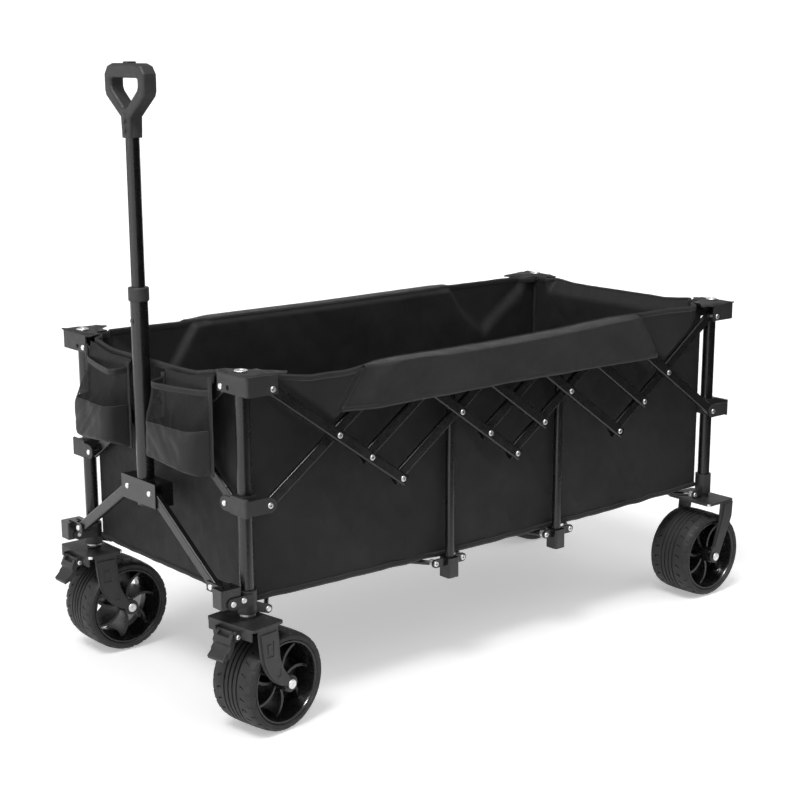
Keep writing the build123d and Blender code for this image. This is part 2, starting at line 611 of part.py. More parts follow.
def front_fork():
    """A front caster about its swivel axis at x = y = 0: plate, arms, covers and pedal ears."""
    top = FORK_PLATE_TOP_Z
    under = top - FORK_PLATE_THICKNESS
    arm_y = FORK_INNER_Y
    plate = block(-42, 30, -arm_y - FORK_WALL, arm_y + FORK_WALL, under, top)
    plate = fillet(plate.edges().filter_by(Axis.Z), 6)
    lip = block(-42, -39, -arm_y - FORK_WALL + 5, arm_y + FORK_WALL - 5, 187, under)
    lip_bore = rod_y(*PEDAL_PIN, -30, 30, PEDAL_PIN_RADIUS)
    parts = [plate, lip, kingpin(0, 0, 212)]
    for side in (-1, 1):
        inner, outer = side * arm_y, side * (arm_y + FORK_WALL)
        face = outer + side * COVER
        arm = curved_arm(inner, outer, 0)
        parts.append(arm - rod_y(FRONT_TRAIL, WHEEL_RADIUS, -70, 70, AXLE_RADIUS))
        cover = curved_arm(outer, face, 4)
        cover -= block(-15, 3, face - side * 1.1, face + side, 152, 180)
        cover += block(-10, -2, outer, face, 158, 174)
        cover -= block(9, 19, face - side * 1.1, face + side, 112, 126)
        parts.append(cover - rod_y(FRONT_TRAIL, WHEEL_RADIUS, outer, face + side, AXLE_RADIUS))
        parts.append(block(-53, -42, side * 23, side * 26, 184, 202) - lip_bore)
    pin = rod_y(*PEDAL_PIN, -27.5, 27.5, PEDAL_PIN_RADIUS)
    for side in (-1, 1):
        pin += rivet_head_y(*PEDAL_PIN, side * 26, side, 4.2)
    parts.append(pin)
    return parts


def brake_pedal():
    """A two-step brake pedal in front of a caster, about the same swivel frame."""
    outline = [(-43.5, 196), (-50, 199.5), (-55, 196), (-62, 181), (-60, 175), (-66, 168),
               (-77, 157), (-75.5, 152), (-63, 157), (-54, 168), (-49, 184)]
    half = 21.5
    pedal = profile_y(outline, -half, half)
    for side in (-1, 1):
        shoulder = [(-80, 148), (-66, 148), (-66, 170), (-80, 170)]
        pedal -= Pos(0, side * half, 0) * profile_y(shoulder, -2.5, 2.5)
    pedal -= block(-90, -50.5, -14, 14, 190, 205)
    return pedal - rod_y(*PEDAL_PIN, -30, 30, PEDAL_PIN_RADIUS + PIN_CLEARANCE)


def rear_fork(side):
    """A fixed rear fork: a plate, a pin in the post sleeve, and two plain slanting arms."""
    x = REAR_POST_X
    y = side * POST_Y
    top = FORK_PLATE_TOP_Z
    under = top - FORK_PLATE_THICKNESS
    reach = FORK_INNER_Y + FORK_WALL
    plate = block(x - 46, x + 34, y - reach, y + reach, under, top)
    parts = [fillet(plate.edges().filter_by(Axis.Z), 5), kingpin(x, y, 217)]
    axle_x = x + REAR_AXLE_OFFSET
    for edge in (-1, 1):
        outline = [(x - 6, under), (x + 32, under), (x + 30, 170), (axle_x + 14, WHEEL_RADIUS),
                   (axle_x - 14, WHEEL_RADIUS), (x - 10, 165)]
        arm = profile_y(outline, y + edge * FORK_INNER_Y, y + edge * reach)
        arm += rod_y(axle_x, WHEEL_RADIUS, y + edge * FORK_INNER_Y, y + edge * reach, 14)
        rib = [(x + 4, top - 6), (x + 22, top - 6), (x + 20, 172), (axle_x + 4, 110),
               (axle_x - 4, 110), (x - 2, 168)]
        arm += profile_y(rib, y + edge * (reach - 1), y + edge * (reach + 2.2))
        parts.append(arm - rod_y(axle_x, WHEEL_RADIUS, y - 70, y + 70, AXLE_RADIUS))
    return parts


def make_wheels():
    """Four wheels and their forks, each in its own place."""
    tyre = make_tyre()
    hub = make_hub()
    fork = front_fork()
    for name, side, angle in (("near", -1, NEAR_CASTER_ANGLE), ("far", 1, 0.0)):
        place = Pos(FRONT_POST_X, side * POST_Y, 0) * Rot(0, 0, angle)
        wheel_place = place * Pos(FRONT_TRAIL, 0, WHEEL_RADIUS)
        bolt = axle_bolt(FRONT_TRAIL, 0)
        save(f"front_{name}_fork", [place * s for s in solids(fork, bolt)])
        save(f"front_{name}_brake_pedal", place * brake_pedal())
        save(f"front_{name}_hub", [wheel_place * s for s in hub])
        save(f"front_{name}_tyre", wheel_place * tyre)
    axle_x = REAR_POST_X + REAR_AXLE_OFFSET
    bolts = []
    for name, side in (("near", -1), ("far", 1)):
        wheel_place = Pos(axle_x, side * POST_Y, WHEEL_RADIUS)
        save(f"rear_{name}_hub", [wheel_place * s for s in hub])
        save(f"rear_{name}_tyre", wheel_place * tyre)
        bolts.append(axle_bolt(axle_x, side * POST_Y))
    save("rear_forks", rear_fork(-1), rear_fork(1), bolts)


# ---------------------------------------------------------------- pull handle
BRACKET_FACE_X = FRONT_POST_X - 50.0
BRACKET_HALF_WIDTH = 57.0
BRACKET_Z = (362.0, 406.0)
STRUT_TOP = (37.0, 386.0)
STRUT_LOW = (226.5, 263.5)
STRUT_X = (BRACKET_FACE_X + 3.2, BRACKET_FACE_X + 15.2)


def handle_yoke():
    """Two struts and the corner knuckles they are bolted to."""
    shapes = []
    for side in (-1, 1):
        top = (side * STRUT_TOP[0], STRUT_TOP[1])
        low = (side * STRUT_LOW[0], STRUT_LOW[1])
        strut = end_bar(low, top, *STRUT_X, [low, top])
        shapes.append(strut)
        knuckle = block(YOKE_PIVOT_X - 21, YOKE_PIVOT_X + 19, side * 246.6, side * 275.6, 236, 270)
        knuckle = fillet(knuckle.edges().filter_by(Axis.Z), 2.5)
        for x0 in (BRACKET_FACE_X - 0.5, STRUT_X[1] + 0.3):
            knuckle += block(x0, x0 + 3.4, side * 214, side * 262, 255.2, 272)
        knuckle -= rod_y(YOKE_PIVOT_X, YOKE_PIVOT_Z, side * 240, side * 282,
                         YOKE_PIN_RADIUS + PIN_CLEARANCE)
        knuckle -= rod_x(low[0], low[1], YOKE_PIVOT_X - 30, YOKE_PIVOT_X + 30, RIVET_RADIUS)
        shapes.append(knuckle)
        face = BRACKET_FACE_X - 0.5
        bolt = rivet_head_x(low[0], low[1], face, -1)
        shapes.append(bolt + rod_x(low[0], low[1], face, STRUT_X[1] + 3.7, RIVET_RADIUS))
    return shapes


def handle_bracket():
    """The box that joins the lower tube to the struts, with its front plate and bolts."""
    low, high = BRACKET_Z
    back = FRONT_POST_X - 13.0
    width = BRACKET_HALF_WIDTH
    plate = block(BRACKET_FACE_X, BRACKET_FACE_X + 3, -width, width, low, high)
    box = block(BRACKET_FACE_X + 3, back, -width, width, low + 1, high - 1)
    box -= block(BRACKET_FACE_X + 2, STRUT_X[1] + 0.5, -width - 1, -16.5, low, high - 5)
    box -= block(BRACKET_FACE_X + 2, STRUT_X[1] + 0.5, 16.5, width + 1, low, high - 5)
    box -= block(BRACKET_FACE_X + 2, back - 3, -width + 3, -19.5, low, high - 5)
    box -= block(BRACKET_FACE_X + 2, back - 3, 19.5, width - 3, low, high - 5)
    box += plate
    box -= rod_z(HANDLE_X, 0, low - 2, high + 2, LOWER_TUBE_RADIUS + 0.05)
    bolts = []
    for side in (-1, 1):
        y, z = side * STRUT_TOP[0], STRUT_TOP[1]
        box -= rod_x(y, z, BRACKET_FACE_X - 1, BRACKET_FACE_X + 4, RIVET_RADIUS)
        bolt = rivet_head_x(y, z, BRACKET_FACE_X, -1)
        bolts.append(bolt + rod_x(y, z, BRACKET_FACE_X, STRUT_X[1] + 0.4, RIVET_RADIUS))
    return [box, bolts]


def handle_outer_tube():
    """The lower, wider tube with a closed foot and one cross rivet."""
    top = COLLAR_Z - 6
    tube = rod_z(HANDLE_X, 0, LOWER_TUBE_BOTTOM_Z, top, LOWER_TUBE_RADIUS)
    tube -= rod_z(HANDLE_X, 0, LOWER_TUBE_BOTTOM_Z + 4, top + 1, UPPER_TUBE_RADIUS + GAP)
    rivet_z = COLLAR_Z - 50
    rivet = rivet_head_x(0, rivet_z, HANDLE_X - LOWER_TUBE_RADIUS + 0.6, -1,
                         TUBE_RIVET_RADIUS)
    return [tube, rivet - rod_z(HANDLE_X, 0, 600, 760, LOWER_TUBE_RADIUS)]


def handle_collar():
    """The plastic collar at the top of the lower tube."""
    collar = rod_z(HANDLE_X, 0, COLLAR_Z - 16, COLLAR_Z + 8, 18.2)
    collar = fillet(collar.edges().filter_by(GeomType.CIRCLE), 2)
    collar -= rod_z(HANDLE_X, 0, COLLAR_Z - 20, COLLAR_Z - 6, LOWER_TUBE_RADIUS + 0.05)
    return collar - rod_z(HANDLE_X, 0, COLLAR_Z - 8, COLLAR_Z + 12, UPPER_TUBE_RADIUS + GAP)


def handle_inner_tube():
    """The upper tube, with a groove along its front and back."""
    tube = tube_z(HANDLE_X, 0, 655, 1002, UPPER_TUBE_RADIUS, 1.6)
    for side in (-1, 1):
        x = HANDLE_X + side * UPPER_TUBE_RADIUS
        tube -= block(x - 0.7, x + 0.7, -2.2, 2.2, 670, 996)
    return tube


GRIP_TOP_Z = 1123.0
GRIP_HALF_WIDTH = 64.0
GRIP_HALF_DEPTH = 14.0
GRIP_BOTTOM_Z = 1000.0
STEM_RADIUS = 15.2


def handle_grip():
    """A D-shaped grip whose arms close on a stem, with a finger gap through it."""
    outer = [(-13, GRIP_BOTTOM_Z), (13, GRIP_BOTTOM_Z), (15, 1034), (60, 1068), (GRIP_HALF_WIDTH, 1078),
             (GRIP_HALF_WIDTH, 1106), (54, 1119), (40, GRIP_TOP_Z), (-40, GRIP_TOP_Z),
             (-54, 1119), (-GRIP_HALF_WIDTH, 1106), (-GRIP_HALF_WIDTH, 1078), (-60, 1068), (-15, 1034)]
    inner = [(-6, 1051), (6, 1051), (40, 1079), (43, 1085), (43, 1096), (38, 1099), (-38, 1099),
             (-43, 1096), (-43, 1085), (-40, 1079)]
    depth = GRIP_HALF_DEPTH
    grip = profile_x(outer, HANDLE_X - depth, HANDLE_X + depth)
    grip -= profile_x(inner, HANDLE_X - depth - 2, HANDLE_X + depth + 2)
    rims = [e for e in grip.edges() if abs(abs(e.center().X - HANDLE_X) - depth) < 0.01
            and e.center().Z > GRIP_BOTTOM_Z + 1]
    grip = fillet(rims, 5.5)
    grip += rod_z(HANDLE_X, 0, GRIP_BOTTOM_Z, 1040, STEM_RADIUS)
    grip -= rod_z(HANDLE_X, 0, GRIP_BOTTOM_Z - 2, GRIP_BOTTOM_Z + 3, UPPER_TUBE_RADIUS + 0.05)
    grip -= block(HANDLE_X - 8, HANDLE_X + 8, -9, 9, GRIP_TOP_Z - 9, GRIP_TOP_Z + 1)
    rivets = []
    for z in (1012, 1028):
        rivets.append(rivet_head_x(0, z, HANDLE_X - STEM_RADIUS, -1, TUBE_RIVET_RADIUS))
    return [grip, rivets]


def grip_button():
    """The release button in the top of the grip."""
    button = block(HANDLE_X - 7.6, HANDLE_X + 7.6, -8.6, 8.6, GRIP_TOP_Z - 5, GRIP_TOP_Z + 3)
    return fillet(button.edges().group_by(Axis.Z)[-1], 1.5)


# ---------------------------------------------------------------- soft parts as plain solids
TUB_X0 = FRONT_POST_X + 17.0
TUB_X1 = REAR_POST_X - 17.0


def tub_side_panels():
    """The long fabric walls, inside the posts."""
    return [block(TUB_X0, TUB_X1, side * PANEL_Y, side * (PANEL_Y + 4), FLOOR_Z + 6.4, 622)
            for side in (-1, 1)]


def end_panel(post_x, inward):
    """A fabric end wall between the side walls."""
    x = post_x + inward * 10
    return block(x, x + inward * 4, -PANEL_Y + 4, PANEL_Y - 4, FLOOR_Z + 6.4, 608)


def side_flaps():
    """The outer flaps over the lattices, each with the strip that joins it to the rim."""
    start, _ = lattice_point(1.1, 0)
    stop, _ = lattice_point(6.7, 0)
    slope = 40.0
    shapes = []
    for side in (-1, 1):
        outline = [(start, 543), (stop, 543), (stop - slope, 625), (start + slope, 625)]
        flap = profile_y(outline, side * 307.5, side * 311)
        flap += block(start + slope, stop - slope, side * (PANEL_Y + 0.5), side * 311, 623, 627)
        shapes.append(flap)
    return shapes


def end_pockets():
    """Two open pockets that hang on the front end."""
    shapes = []
    back = FRONT_POST_X - 24.5
    front = FRONT_POST_X - 62
    for side in (-1, 1):
        section = [(back, 448), (back, 598), (front, 592), (front + 1, 480), (front + 14, 448)]
        pocket = profile_y(section, side * 62, side * 204)
        hollow = [(back - 2.5, 451), (back - 2.5, 610), (front + 2.5, 610), (front + 3.5, 481),
                  (front + 16, 451)]
        shapes.append(pocket - profile_y(hollow, side * 64.5, side * 201.5))
    return shapes


# ---------------------------------------------------------------- assembly
def fastener_set(post_x, inward):
    """Bolts and washers that stay with one end frame."""
    spoke_x = post_x + inward * FOOT_LONG_REACH
    return bracket_bolts(post_x, inward) + [spoke_bolt(spoke_x, side) for side in (-1, 1)]


def make_front_frame():
    """Everything that stays with the front posts."""
    save("front_posts", corner_posts(FRONT_POST_X))
    save("front_top_brackets", [top_bracket(FRONT_POST_X, 1, side) for side in (-1, 1)])
    fittings = []
    extra = []
    for side in (-1, 1):
        fittings.append(front_lower_fitting(side) + end_spoke_lug(FRONT_POST_X, 1, side))
        washer = rod_z(FRONT_POST_X, side * POST_Y, 212.4, 216.8, 13.5)
        extra.append(washer - rod_z(FRONT_POST_X, side * POST_Y, 210, 220, 8.4))
        inner, outer = STRAP_Y[0], STRAP_Y[1] + STRAP_THICKNESS
        pin = pivot_bolt_y(YOKE_PIVOT_X, YOKE_PIVOT_Z, outer, inner, side)
        pin += rod_y(YOKE_PIVOT_X, YOKE_PIVOT_Z, side * inner, side * outer, YOKE_PIN_RADIUS)
        extra.append(pin)
        extra.append(rivet_head_y(FRONT_POST_X - 19, 246.5, side * outer, side))
    save("front_lower_fittings", fittings)
    save("front_end_upper_bars", upper_end_bars(FRONT_POST_X, 1))
    save("front_fasteners", fastener_set(FRONT_POST_X, 1), extra)
    save("front_end_panel", end_panel(FRONT_POST_X, 1))
    save("end_pockets", end_pockets())
    save("tub_floor", block(TUB_X0, TUB_X1, -PANEL_Y + 0.5, PANEL_Y - 0.5, FLOOR_Z, FLOOR_Z + 6))
    save("tub_side_panels", tub_side_panels())
    save("side_flaps", side_flaps())


def make_rear_frame():
    """Everything that stays with the rear posts."""
    save("rear_posts", corner_posts(REAR_POST_X))
    save("rear_top_brackets", [top_bracket(REAR_POST_X, -1, side) for side in (-1, 1)])
    fittings = [post_sleeve(REAR_POST_X, side) + end_spoke_lug(REAR_POST_X, -1, side)
                for side in (-1, 1)]
    save("rear_lower_fittings", fittings)
    save("rear_end_upper_bars", upper_end_bars(REAR_POST_X, -1))
    save("rear_fasteners", fastener_set(REAR_POST_X, -1))
    save("rear_end_panel", end_panel(REAR_POST_X, -1))


def make_sliders():
    """The four sliding brackets and the end bars that ride on them."""
    front_ear = INNER_BAR_Y + BAR_THICKNESS + GAP
    rear_ear = OUTER_BAR_Y + BAR_THICKNESS + GAP
    for name, post_x, inward, ear in (("front", FRONT_POST_X, 1, front_ear),
                                      ("rear", REAR_POST_X, -1, rear_ear)):
        brackets = [slider(post_x, inward, side, ear) for side in (-1, 1)]
        save(f"{name}_sliders", brackets, slider_bolts(post_x, inward, ear))
        save(f"{name}_end_lower_bars", lower_end_bars(post_x, inward))


def make_handle():
    """The yoke, bracket, two tubes, collar, grip and button."""
    save("handle_yoke", handle_yoke())
    save("handle_bracket", handle_bracket())
    save("handle_outer_tube", handle_outer_tube())
    save("handle_collar", handle_collar())
    save("handle_inner_tube", handle_inner_tube())
    save("handle_grip", handle_grip())
    save("grip_button", grip_button())


os.makedirs("parts", exist_ok=True)
make_front_frame()
make_rear_frame()
make_sliders()
make_lattices()
for middle_name, middle_step in MIDDLE_STEPS.items():
    save(middle_name, [middle_post(middle_step, side) for side in (-1, 1)])
make_floor_spokes()
make_wheels()
make_handle()
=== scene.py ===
import math

import bpy
import numpy as np
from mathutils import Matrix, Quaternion, Vector, noise


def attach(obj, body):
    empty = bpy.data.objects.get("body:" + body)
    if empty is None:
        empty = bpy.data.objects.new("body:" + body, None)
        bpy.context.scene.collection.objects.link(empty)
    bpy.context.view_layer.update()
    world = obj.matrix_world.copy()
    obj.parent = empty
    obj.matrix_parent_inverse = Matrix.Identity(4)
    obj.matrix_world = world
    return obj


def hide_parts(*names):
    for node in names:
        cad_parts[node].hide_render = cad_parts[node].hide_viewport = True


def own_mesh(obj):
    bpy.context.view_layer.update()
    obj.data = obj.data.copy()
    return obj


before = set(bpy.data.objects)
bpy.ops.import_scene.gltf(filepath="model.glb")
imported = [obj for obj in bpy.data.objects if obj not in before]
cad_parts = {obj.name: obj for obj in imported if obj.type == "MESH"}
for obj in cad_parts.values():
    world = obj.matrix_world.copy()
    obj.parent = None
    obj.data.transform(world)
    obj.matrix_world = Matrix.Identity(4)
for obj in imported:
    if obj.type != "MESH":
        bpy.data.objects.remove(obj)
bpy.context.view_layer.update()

# Lengths below are millimetres in the CAD frame, and meshes are written in metres.
# X runs from the handle end to the rear, Y from the near side to the far one, Z up.
# side is -1 for near and 1 for far, and end is -1 for front and 1 for rear.
MM = 0.001
CLOTH = 1.3
UP = (0, 0, 1)
SIDES = ((-1, "near"), (1, "far"))
ENDS = ((-1, "front"), (1, "rear"))

# Posts and lattice
FRONT_POST = -590.0
REAR_POST = 591.0
POST_RADIUS = 11.5
CROSS_Z = 505.6
BAR_SLOPE = 0.7154
FRONT_CROSS = -419.5
REAR_CROSS = 420.5

# Tub walls: the rim lies at RIM_Y over the lattice ends and at RIM_IN behind the flap
TUB_FRONT = -573.0
TUB_REAR = 574.0
WALL_Y = 250.0
WALL_LIMIT = 256.5
WALL_LOW_Z = 226.0
WALL_BELLY_HEIGHT = 330.0
RIM_Y = 289.0
RIM_IN = 257.5
HEM_Y = 251.0

# Outer flaps, which hang outside the bars
FLAP_FRONT = -407.0
FLAP_REAR = 380.0
FLAP_SLOPE = 52.0
FLAP_BOTTOM = 543.0
FLAP_Y = 308.6
FLAP_FRONT_END_Y = 291.0
FLAP_REAR_END_Y = 304.0
BAR_CLEAR_Y = 303.9
BAR_END_CLEAR_Y = 290.0

# Tub floor and end walls
FLOOR_HALF_WIDTH = 247.0
FLOOR_Z = 229.6
FLOOR_TOP_LIMIT = 231.4
FLOOR_SEAMS = (-287.0, 0.0, 287.0)
END_HALF_WIDTH = 243.5
END_LOW_Z = 231.0
END_LEAN_Z = 596.0


# ---------------------------------------------------------------- camera, floor and light
def make_camera():
    """A camera at three-quarter front, above the rim of the tub."""
    data = bpy.data.cameras.new("camera")
    camera = bpy.data.objects.new("camera", data)
    bpy.context.scene.collection.objects.link(camera)
    azimuth, elevation, roll = math.radians(-39.81), math.radians(13.37), math.radians(-0.12)
    back = Vector((math.sin(azimuth) * math.cos(elevation),
                   -math.cos(azimuth) * math.cos(elevation), math.sin(elevation)))
    middle = Vector((-0.030, 0.0, 0.400))
    distance = 3.2519
    camera.location = middle + back * distance
    camera.rotation_mode = "QUATERNION"
    camera.rotation_quaternion = (-back).to_track_quat("-Z", "Y") @ Quaternion((0, 0, 1), roll)
    data.lens = 73.02
    data.sensor_width = 36.0
    data.shift_x = -0.003
    data.shift_y = 0.038
    bpy.context.scene.camera = camera


def area_light(name, location, target, size, power):
    """A rectangular soft light that faces a point."""
    data = bpy.data.lights.new(name, "AREA")
    data.shape = "RECTANGLE"
    data.size, data.size_y = size
    data.energy = power
    light = bpy.data.objects.new(name, data)
    bpy.context.scene.collection.objects.link(light)
    light.location = location
    direction = Vector(target) - Vector(location)
    light.rotation_mode = "QUATERNION"
    light.rotation_quaternion = direction.to_track_quat("-Z", "Y")


def dark_surround(first, last):
    """A black wall and floor between two bearings, seen only in the wagon's reflections."""
    angles = np.radians(np.linspace(first, last, 24))
    rings = ((1.25, 0.004), (3.0, 0.004), (3.0, 3.2))
    vertices = [(r * math.cos(a), r * math.sin(a), z) for r, z in rings for a in angles]
    n = len(angles)
    faces = [(k * n + i, k * n + i + 1, (k + 1) * n + i + 1, (k + 1) * n + i)
             for k in range(len(rings) - 1) for i in range(n - 1)]
    mesh = bpy.data.meshes.new("dark_surround")
    mesh.from_pydata(vertices, [], faces)
    card = bpy.data.objects.new("dark_surround", mesh)
    bpy.context.scene.collection.objects.link(card)
    mesh.materials.append(Finish("dark_card", (0.004, 0.004, 0.004), 1.0).material)
    card.visible_camera = False
    card.visible_diffuse = False
    card.visible_shadow = False


def make_world():
    """A surround that is white at the horizon and dimmer overhead."""
    world = bpy.data.worlds.new("studio")
    bpy.context.scene.world = world
    world.use_nodes = True
    tree = world.node_tree
    background = tree.nodes["Background"]
    place = tree.nodes.new("ShaderNodeTexCoord")
    parts = tree.nodes.new("ShaderNodeSeparateXYZ")
    ramp = tree.nodes.new("ShaderNodeMapRange")
    ramp.inputs["From Min"].default_value = 0.10
    ramp.inputs["From Max"].default_value = 0.42
    ramp.inputs["To Min"].default_value = 1.15
    ramp.inputs["To Max"].default_value = 0.30
    tree.links.new(place.outputs["Generated"], parts.inputs["Vector"])
    tree.links.new(parts.outputs["Z"], ramp.inputs["Value"])
    background.inputs["Color"].default_value = (1, 1, 1, 1)
    tree.links.new(ramp.outputs["Result"], background.inputs["Strength"])


def sun_light(name, direction, power, spread, gloss_only=False):
    """A distant light from one direction, spread as by a diffuser."""
    data = bpy.data.lights.new(name, "SUN")
    data.energy = power
    data.angle = math.radians(spread)
    light = bpy.data.objects.new(name, data)
    bpy.context.scene.collection.objects.link(light)
    light.rotation_mode = "QUATERNION"
    light.rotation_quaternion = Vector(direction).to_track_quat("-Z", "Y")
    light.visible_diffuse = not gloss_only


def studio_floor():
    """A wide sheet of white paper that glows a little."""
    mesh = bpy.data.meshes.new("studio_floor")
    half = 60.0
    corners = [(-half, -half, 0), (half, -half, 0), (half, half, 0), (-half, half, 0)]
    mesh.from_pydata(corners, [], [(0, 1, 2, 3)])
    floor = bpy.data.objects.new("studio_floor", mesh)
    bpy.context.scene.collection.objects.link(floor)
    paper = Finish("floor_paper", (0.90, 0.90, 0.90), 0.9)
    paper.bump(paper.noise(60.0), 0.02, 0.2)
    paper.shader.inputs["Emission Color"].default_value = (1, 1, 1, 1)
    paper.shader.inputs["Emission Strength"].default_value = 0.34
    mesh.materials.append(paper.material)


def make_studio():
    """A pale floor, a white surround and large soft lights."""
    make_world()
    bpy.context.scene.view_settings.view_transform = "Standard"
    studio_floor()
    from_the_left = (0.42, 0.20, -0.85)
    sun_light("key", from_the_left, 1.35, 20)
    sun_light("broad_fill", (-0.20, 0.70, -0.75), 0.85, 90)
    sun_light("glint", from_the_left, 3.0, 7, gloss_only=True)
    area_light("left_light", (-3.0, 0.2, 1.3), (-0.4, 0, 0.5), (1.4, 2.4), 8)
    dark_surround(-128, 12)


# ---------------------------------------------------------------- finishes
class Finish:
    """A principled material, with short ways to add noise, weave, wear and bump to it."""

    def __init__(self, name, colour, roughness, metallic=0.0, surface="Object"):
        self.name = name
        self.material = bpy.data.materials.new(name)
        self.material.use_nodes = True
        self.tree = self.material.node_tree
        self.shader = self.tree.nodes["Principled BSDF"]
        self.colour = (*colour, 1.0)
        self.shader.inputs["Base Color"].default_value = self.colour
        self.shader.inputs["Roughness"].default_value = roughness
        self.shader.inputs["Metallic"].default_value = metallic
        self.material.diffuse_color = self.colour
        self.place = self.tree.nodes.new("ShaderNodeTexCoord").outputs[surface]
        self.normal = None

    def node(self, kind, **values):
        """A new node of the material, with some of its settings."""
        made = self.tree.nodes.new(kind)
        for name, value in values.items():
            setattr(made, name, value)
        return made

    def link(self, source, target):
        """Joins an output to an input."""
        self.tree.links.new(source, target)

    def scaled(self, scale):
        """The place coordinate, scaled along each axis."""
        mapping = self.node("ShaderNodeMapping")
        mapping.inputs["Scale"].default_value = scale
        self.link(self.place, mapping.inputs["Vector"])
        return mapping.outputs["Vector"]

    def noise(self, scale, detail=3.0, stretch=(1, 1, 1)):
        """Smooth noise, with scale in features per metre."""
        made = self.node("ShaderNodeTexNoise")
        made.inputs["Scale"].default_value = scale
        made.inputs["Detail"].default_value = detail
        self.link(self.scaled(stretch), made.inputs["Vector"])
        return made.outputs["Fac"]

    def cells(self, scale):
        """A fine grain of rounded cells."""
        made = self.node("ShaderNodeTexVoronoi")
        made.inputs["Scale"].default_value = scale
        self.link(self.place, made.inputs["Vector"])
        return made.outputs["Distance"]

    def bands(self, pitch, axis):
        """Sine bands along one axis, pitch metres apart."""
        waves_per_scale = 20 / (2 * math.pi)
        wave = self.node("ShaderNodeTexWave", bands_direction=axis)
        wave.inputs["Scale"].default_value = 1 / (waves_per_scale * pitch)
        self.link(self.place, wave.inputs["Vector"])
        return wave.outputs["Fac"]

    def math(self, operation, *values):
        """A sum on numbers and outputs of other nodes."""
        made = self.node("ShaderNodeMath", operation=operation)
        for socket, value in zip(made.inputs, values):
            if isinstance(value, (int, float)):
                socket.default_value = value
            else:
                self.link(value, socket)
        return made.outputs["Value"]

    def span(self, value, low, high, to_low=0.0, to_high=1.0):
        """Stretches one range of a value over another range, and holds it inside."""
        made = self.node("ShaderNodeMapRange")
        for name, number in (("From Min", low), ("From Max", high),
                             ("To Min", to_low), ("To Max", to_high)):
            made.inputs[name].default_value = number
        self.link(value, made.inputs["Value"])
        return made.outputs["Result"]

    def tint(self, factor, colour):
        """Mixes another colour over the base colour where factor is high."""
        mix = self.node("ShaderNodeMix", data_type="RGBA")
        sockets = [s for s in mix.inputs if s.type == "RGBA"]
        socket = self.shader.inputs["Base Color"]
        if socket.is_linked:
            self.link(socket.links[0].from_socket, sockets[0])
        else:
            sockets[0].default_value = self.colour
        sockets[1].default_value = (*colour, 1.0)
        self.link(factor, mix.inputs["Factor"])
        self.link([s for s in mix.outputs if s.type == "RGBA"][0], socket)

    def roughness(self, factor, low, high):
        """Uneven roughness between two values."""
        self.link(self.span(factor, 0.3, 0.7, low, high), self.shader.inputs["Roughness"])

    def bump(self, height, distance, strength=1.0):
        """Adds relief, distance millimetres deep, over the relief that is already there."""
        made = self.node("ShaderNodeBump")
        made.inputs["Distance"].default_value = distance * MM
        made.inputs["Strength"].default_value = strength
        self.link(height, made.inputs["Height"])
        if self.normal is not None:
            self.link(self.normal, made.inputs["Normal"])
        self.normal = made.outputs["Normal"]
        self.link(self.normal, self.shader.inputs["Normal"])

    def soft_edges(self, radius):
        """Rounds the shading at hard edges, and returns a mask that is high along them."""
        bevel = self.node("ShaderNodeBevel", samples=4)
        bevel.inputs["Radius"].default_value = radius * MM
        self.normal = bevel.outputs["Normal"]
        self.link(self.normal, self.shader.inputs["Normal"])
        flat = self.node("ShaderNodeNewGeometry")
        dot = self.node("ShaderNodeVectorMath", operation="DOT_PRODUCT")
        self.link(bevel.outputs["Normal"], dot.inputs[0])
        self.link(flat.outputs["Normal"], dot.inputs[1])
        return self.span(dot.outputs["Value"], 0.995, 0.85)

    def mottle(self, value, colour, amount, high=0.75, low=0.45):
        """Uneven patches of another colour."""
        self.tint(self.span(value, low, high, 0.0, amount), colour)

    def worn_edges(self, radius, colour, amount):
        """A lighter, rubbed line along the edges, broken up by noise."""
        edge = self.soft_edges(radius)
        rubbed = self.math("MULTIPLY", edge, self.span(self.noise(35.0, 4.0), 0.42, 0.62))
        self.tint(self.math("MULTIPLY", rubbed, amount), colour)


def woven(name, colour, lighter, roughness, pitch, sheen):
    """Coated plain-weave polyester: threads, uneven dye, soft creases and a dusty sheen."""
    cloth = Finish(name, colour, roughness, surface="UV")
    warp = cloth.span(cloth.bands(pitch, "X"), 0, 1, -1, 1)
    weft = cloth.span(cloth.bands(pitch, "Y"), 0, 1, -1, 1)
    threads = cloth.math("MULTIPLY", warp, weft)
    patch = cloth.span(cloth.noise(7.0, 4.0), 0.35, 0.7)
    cloth.tint(cloth.math("MULTIPLY", patch, 0.75), lighter)
    cloth.tint(cloth.span(threads, 0.2, 1.0, 0.0, 0.35), lighter)
    slub = cloth.span(cloth.noise(900.0, 1.0, (1, 0.06, 1)), 0.55, 0.8, 0.0, 0.4)
    cloth.tint(slub, lighter)
    cloth.roughness(cloth.noise(30.0), roughness - 0.06, roughness + 0.08)
    cloth.bump(cloth.noise(11.0, 5.0, (1, 0.55, 1)), 7.0, 0.45)
    cloth.bump(cloth.math("ABSOLUTE", cloth.span(cloth.noise(16.0, 2.0, (1.0, 0.7, 1.0)),
                                                 0, 1, -1, 1)), 4.0, 0.35)
    cloth.bump(cloth.noise(48.0, 3.0), 0.8, 0.3)
    cloth.bump(threads, 0.12, 0.6)
    cloth.shader.inputs["Sheen Weight"].default_value = sheen
    cloth.shader.inputs["Sheen Roughness"].default_value = 0.45
    cloth.shader.inputs["Specular IOR Level"].default_value = 0.22
    return cloth


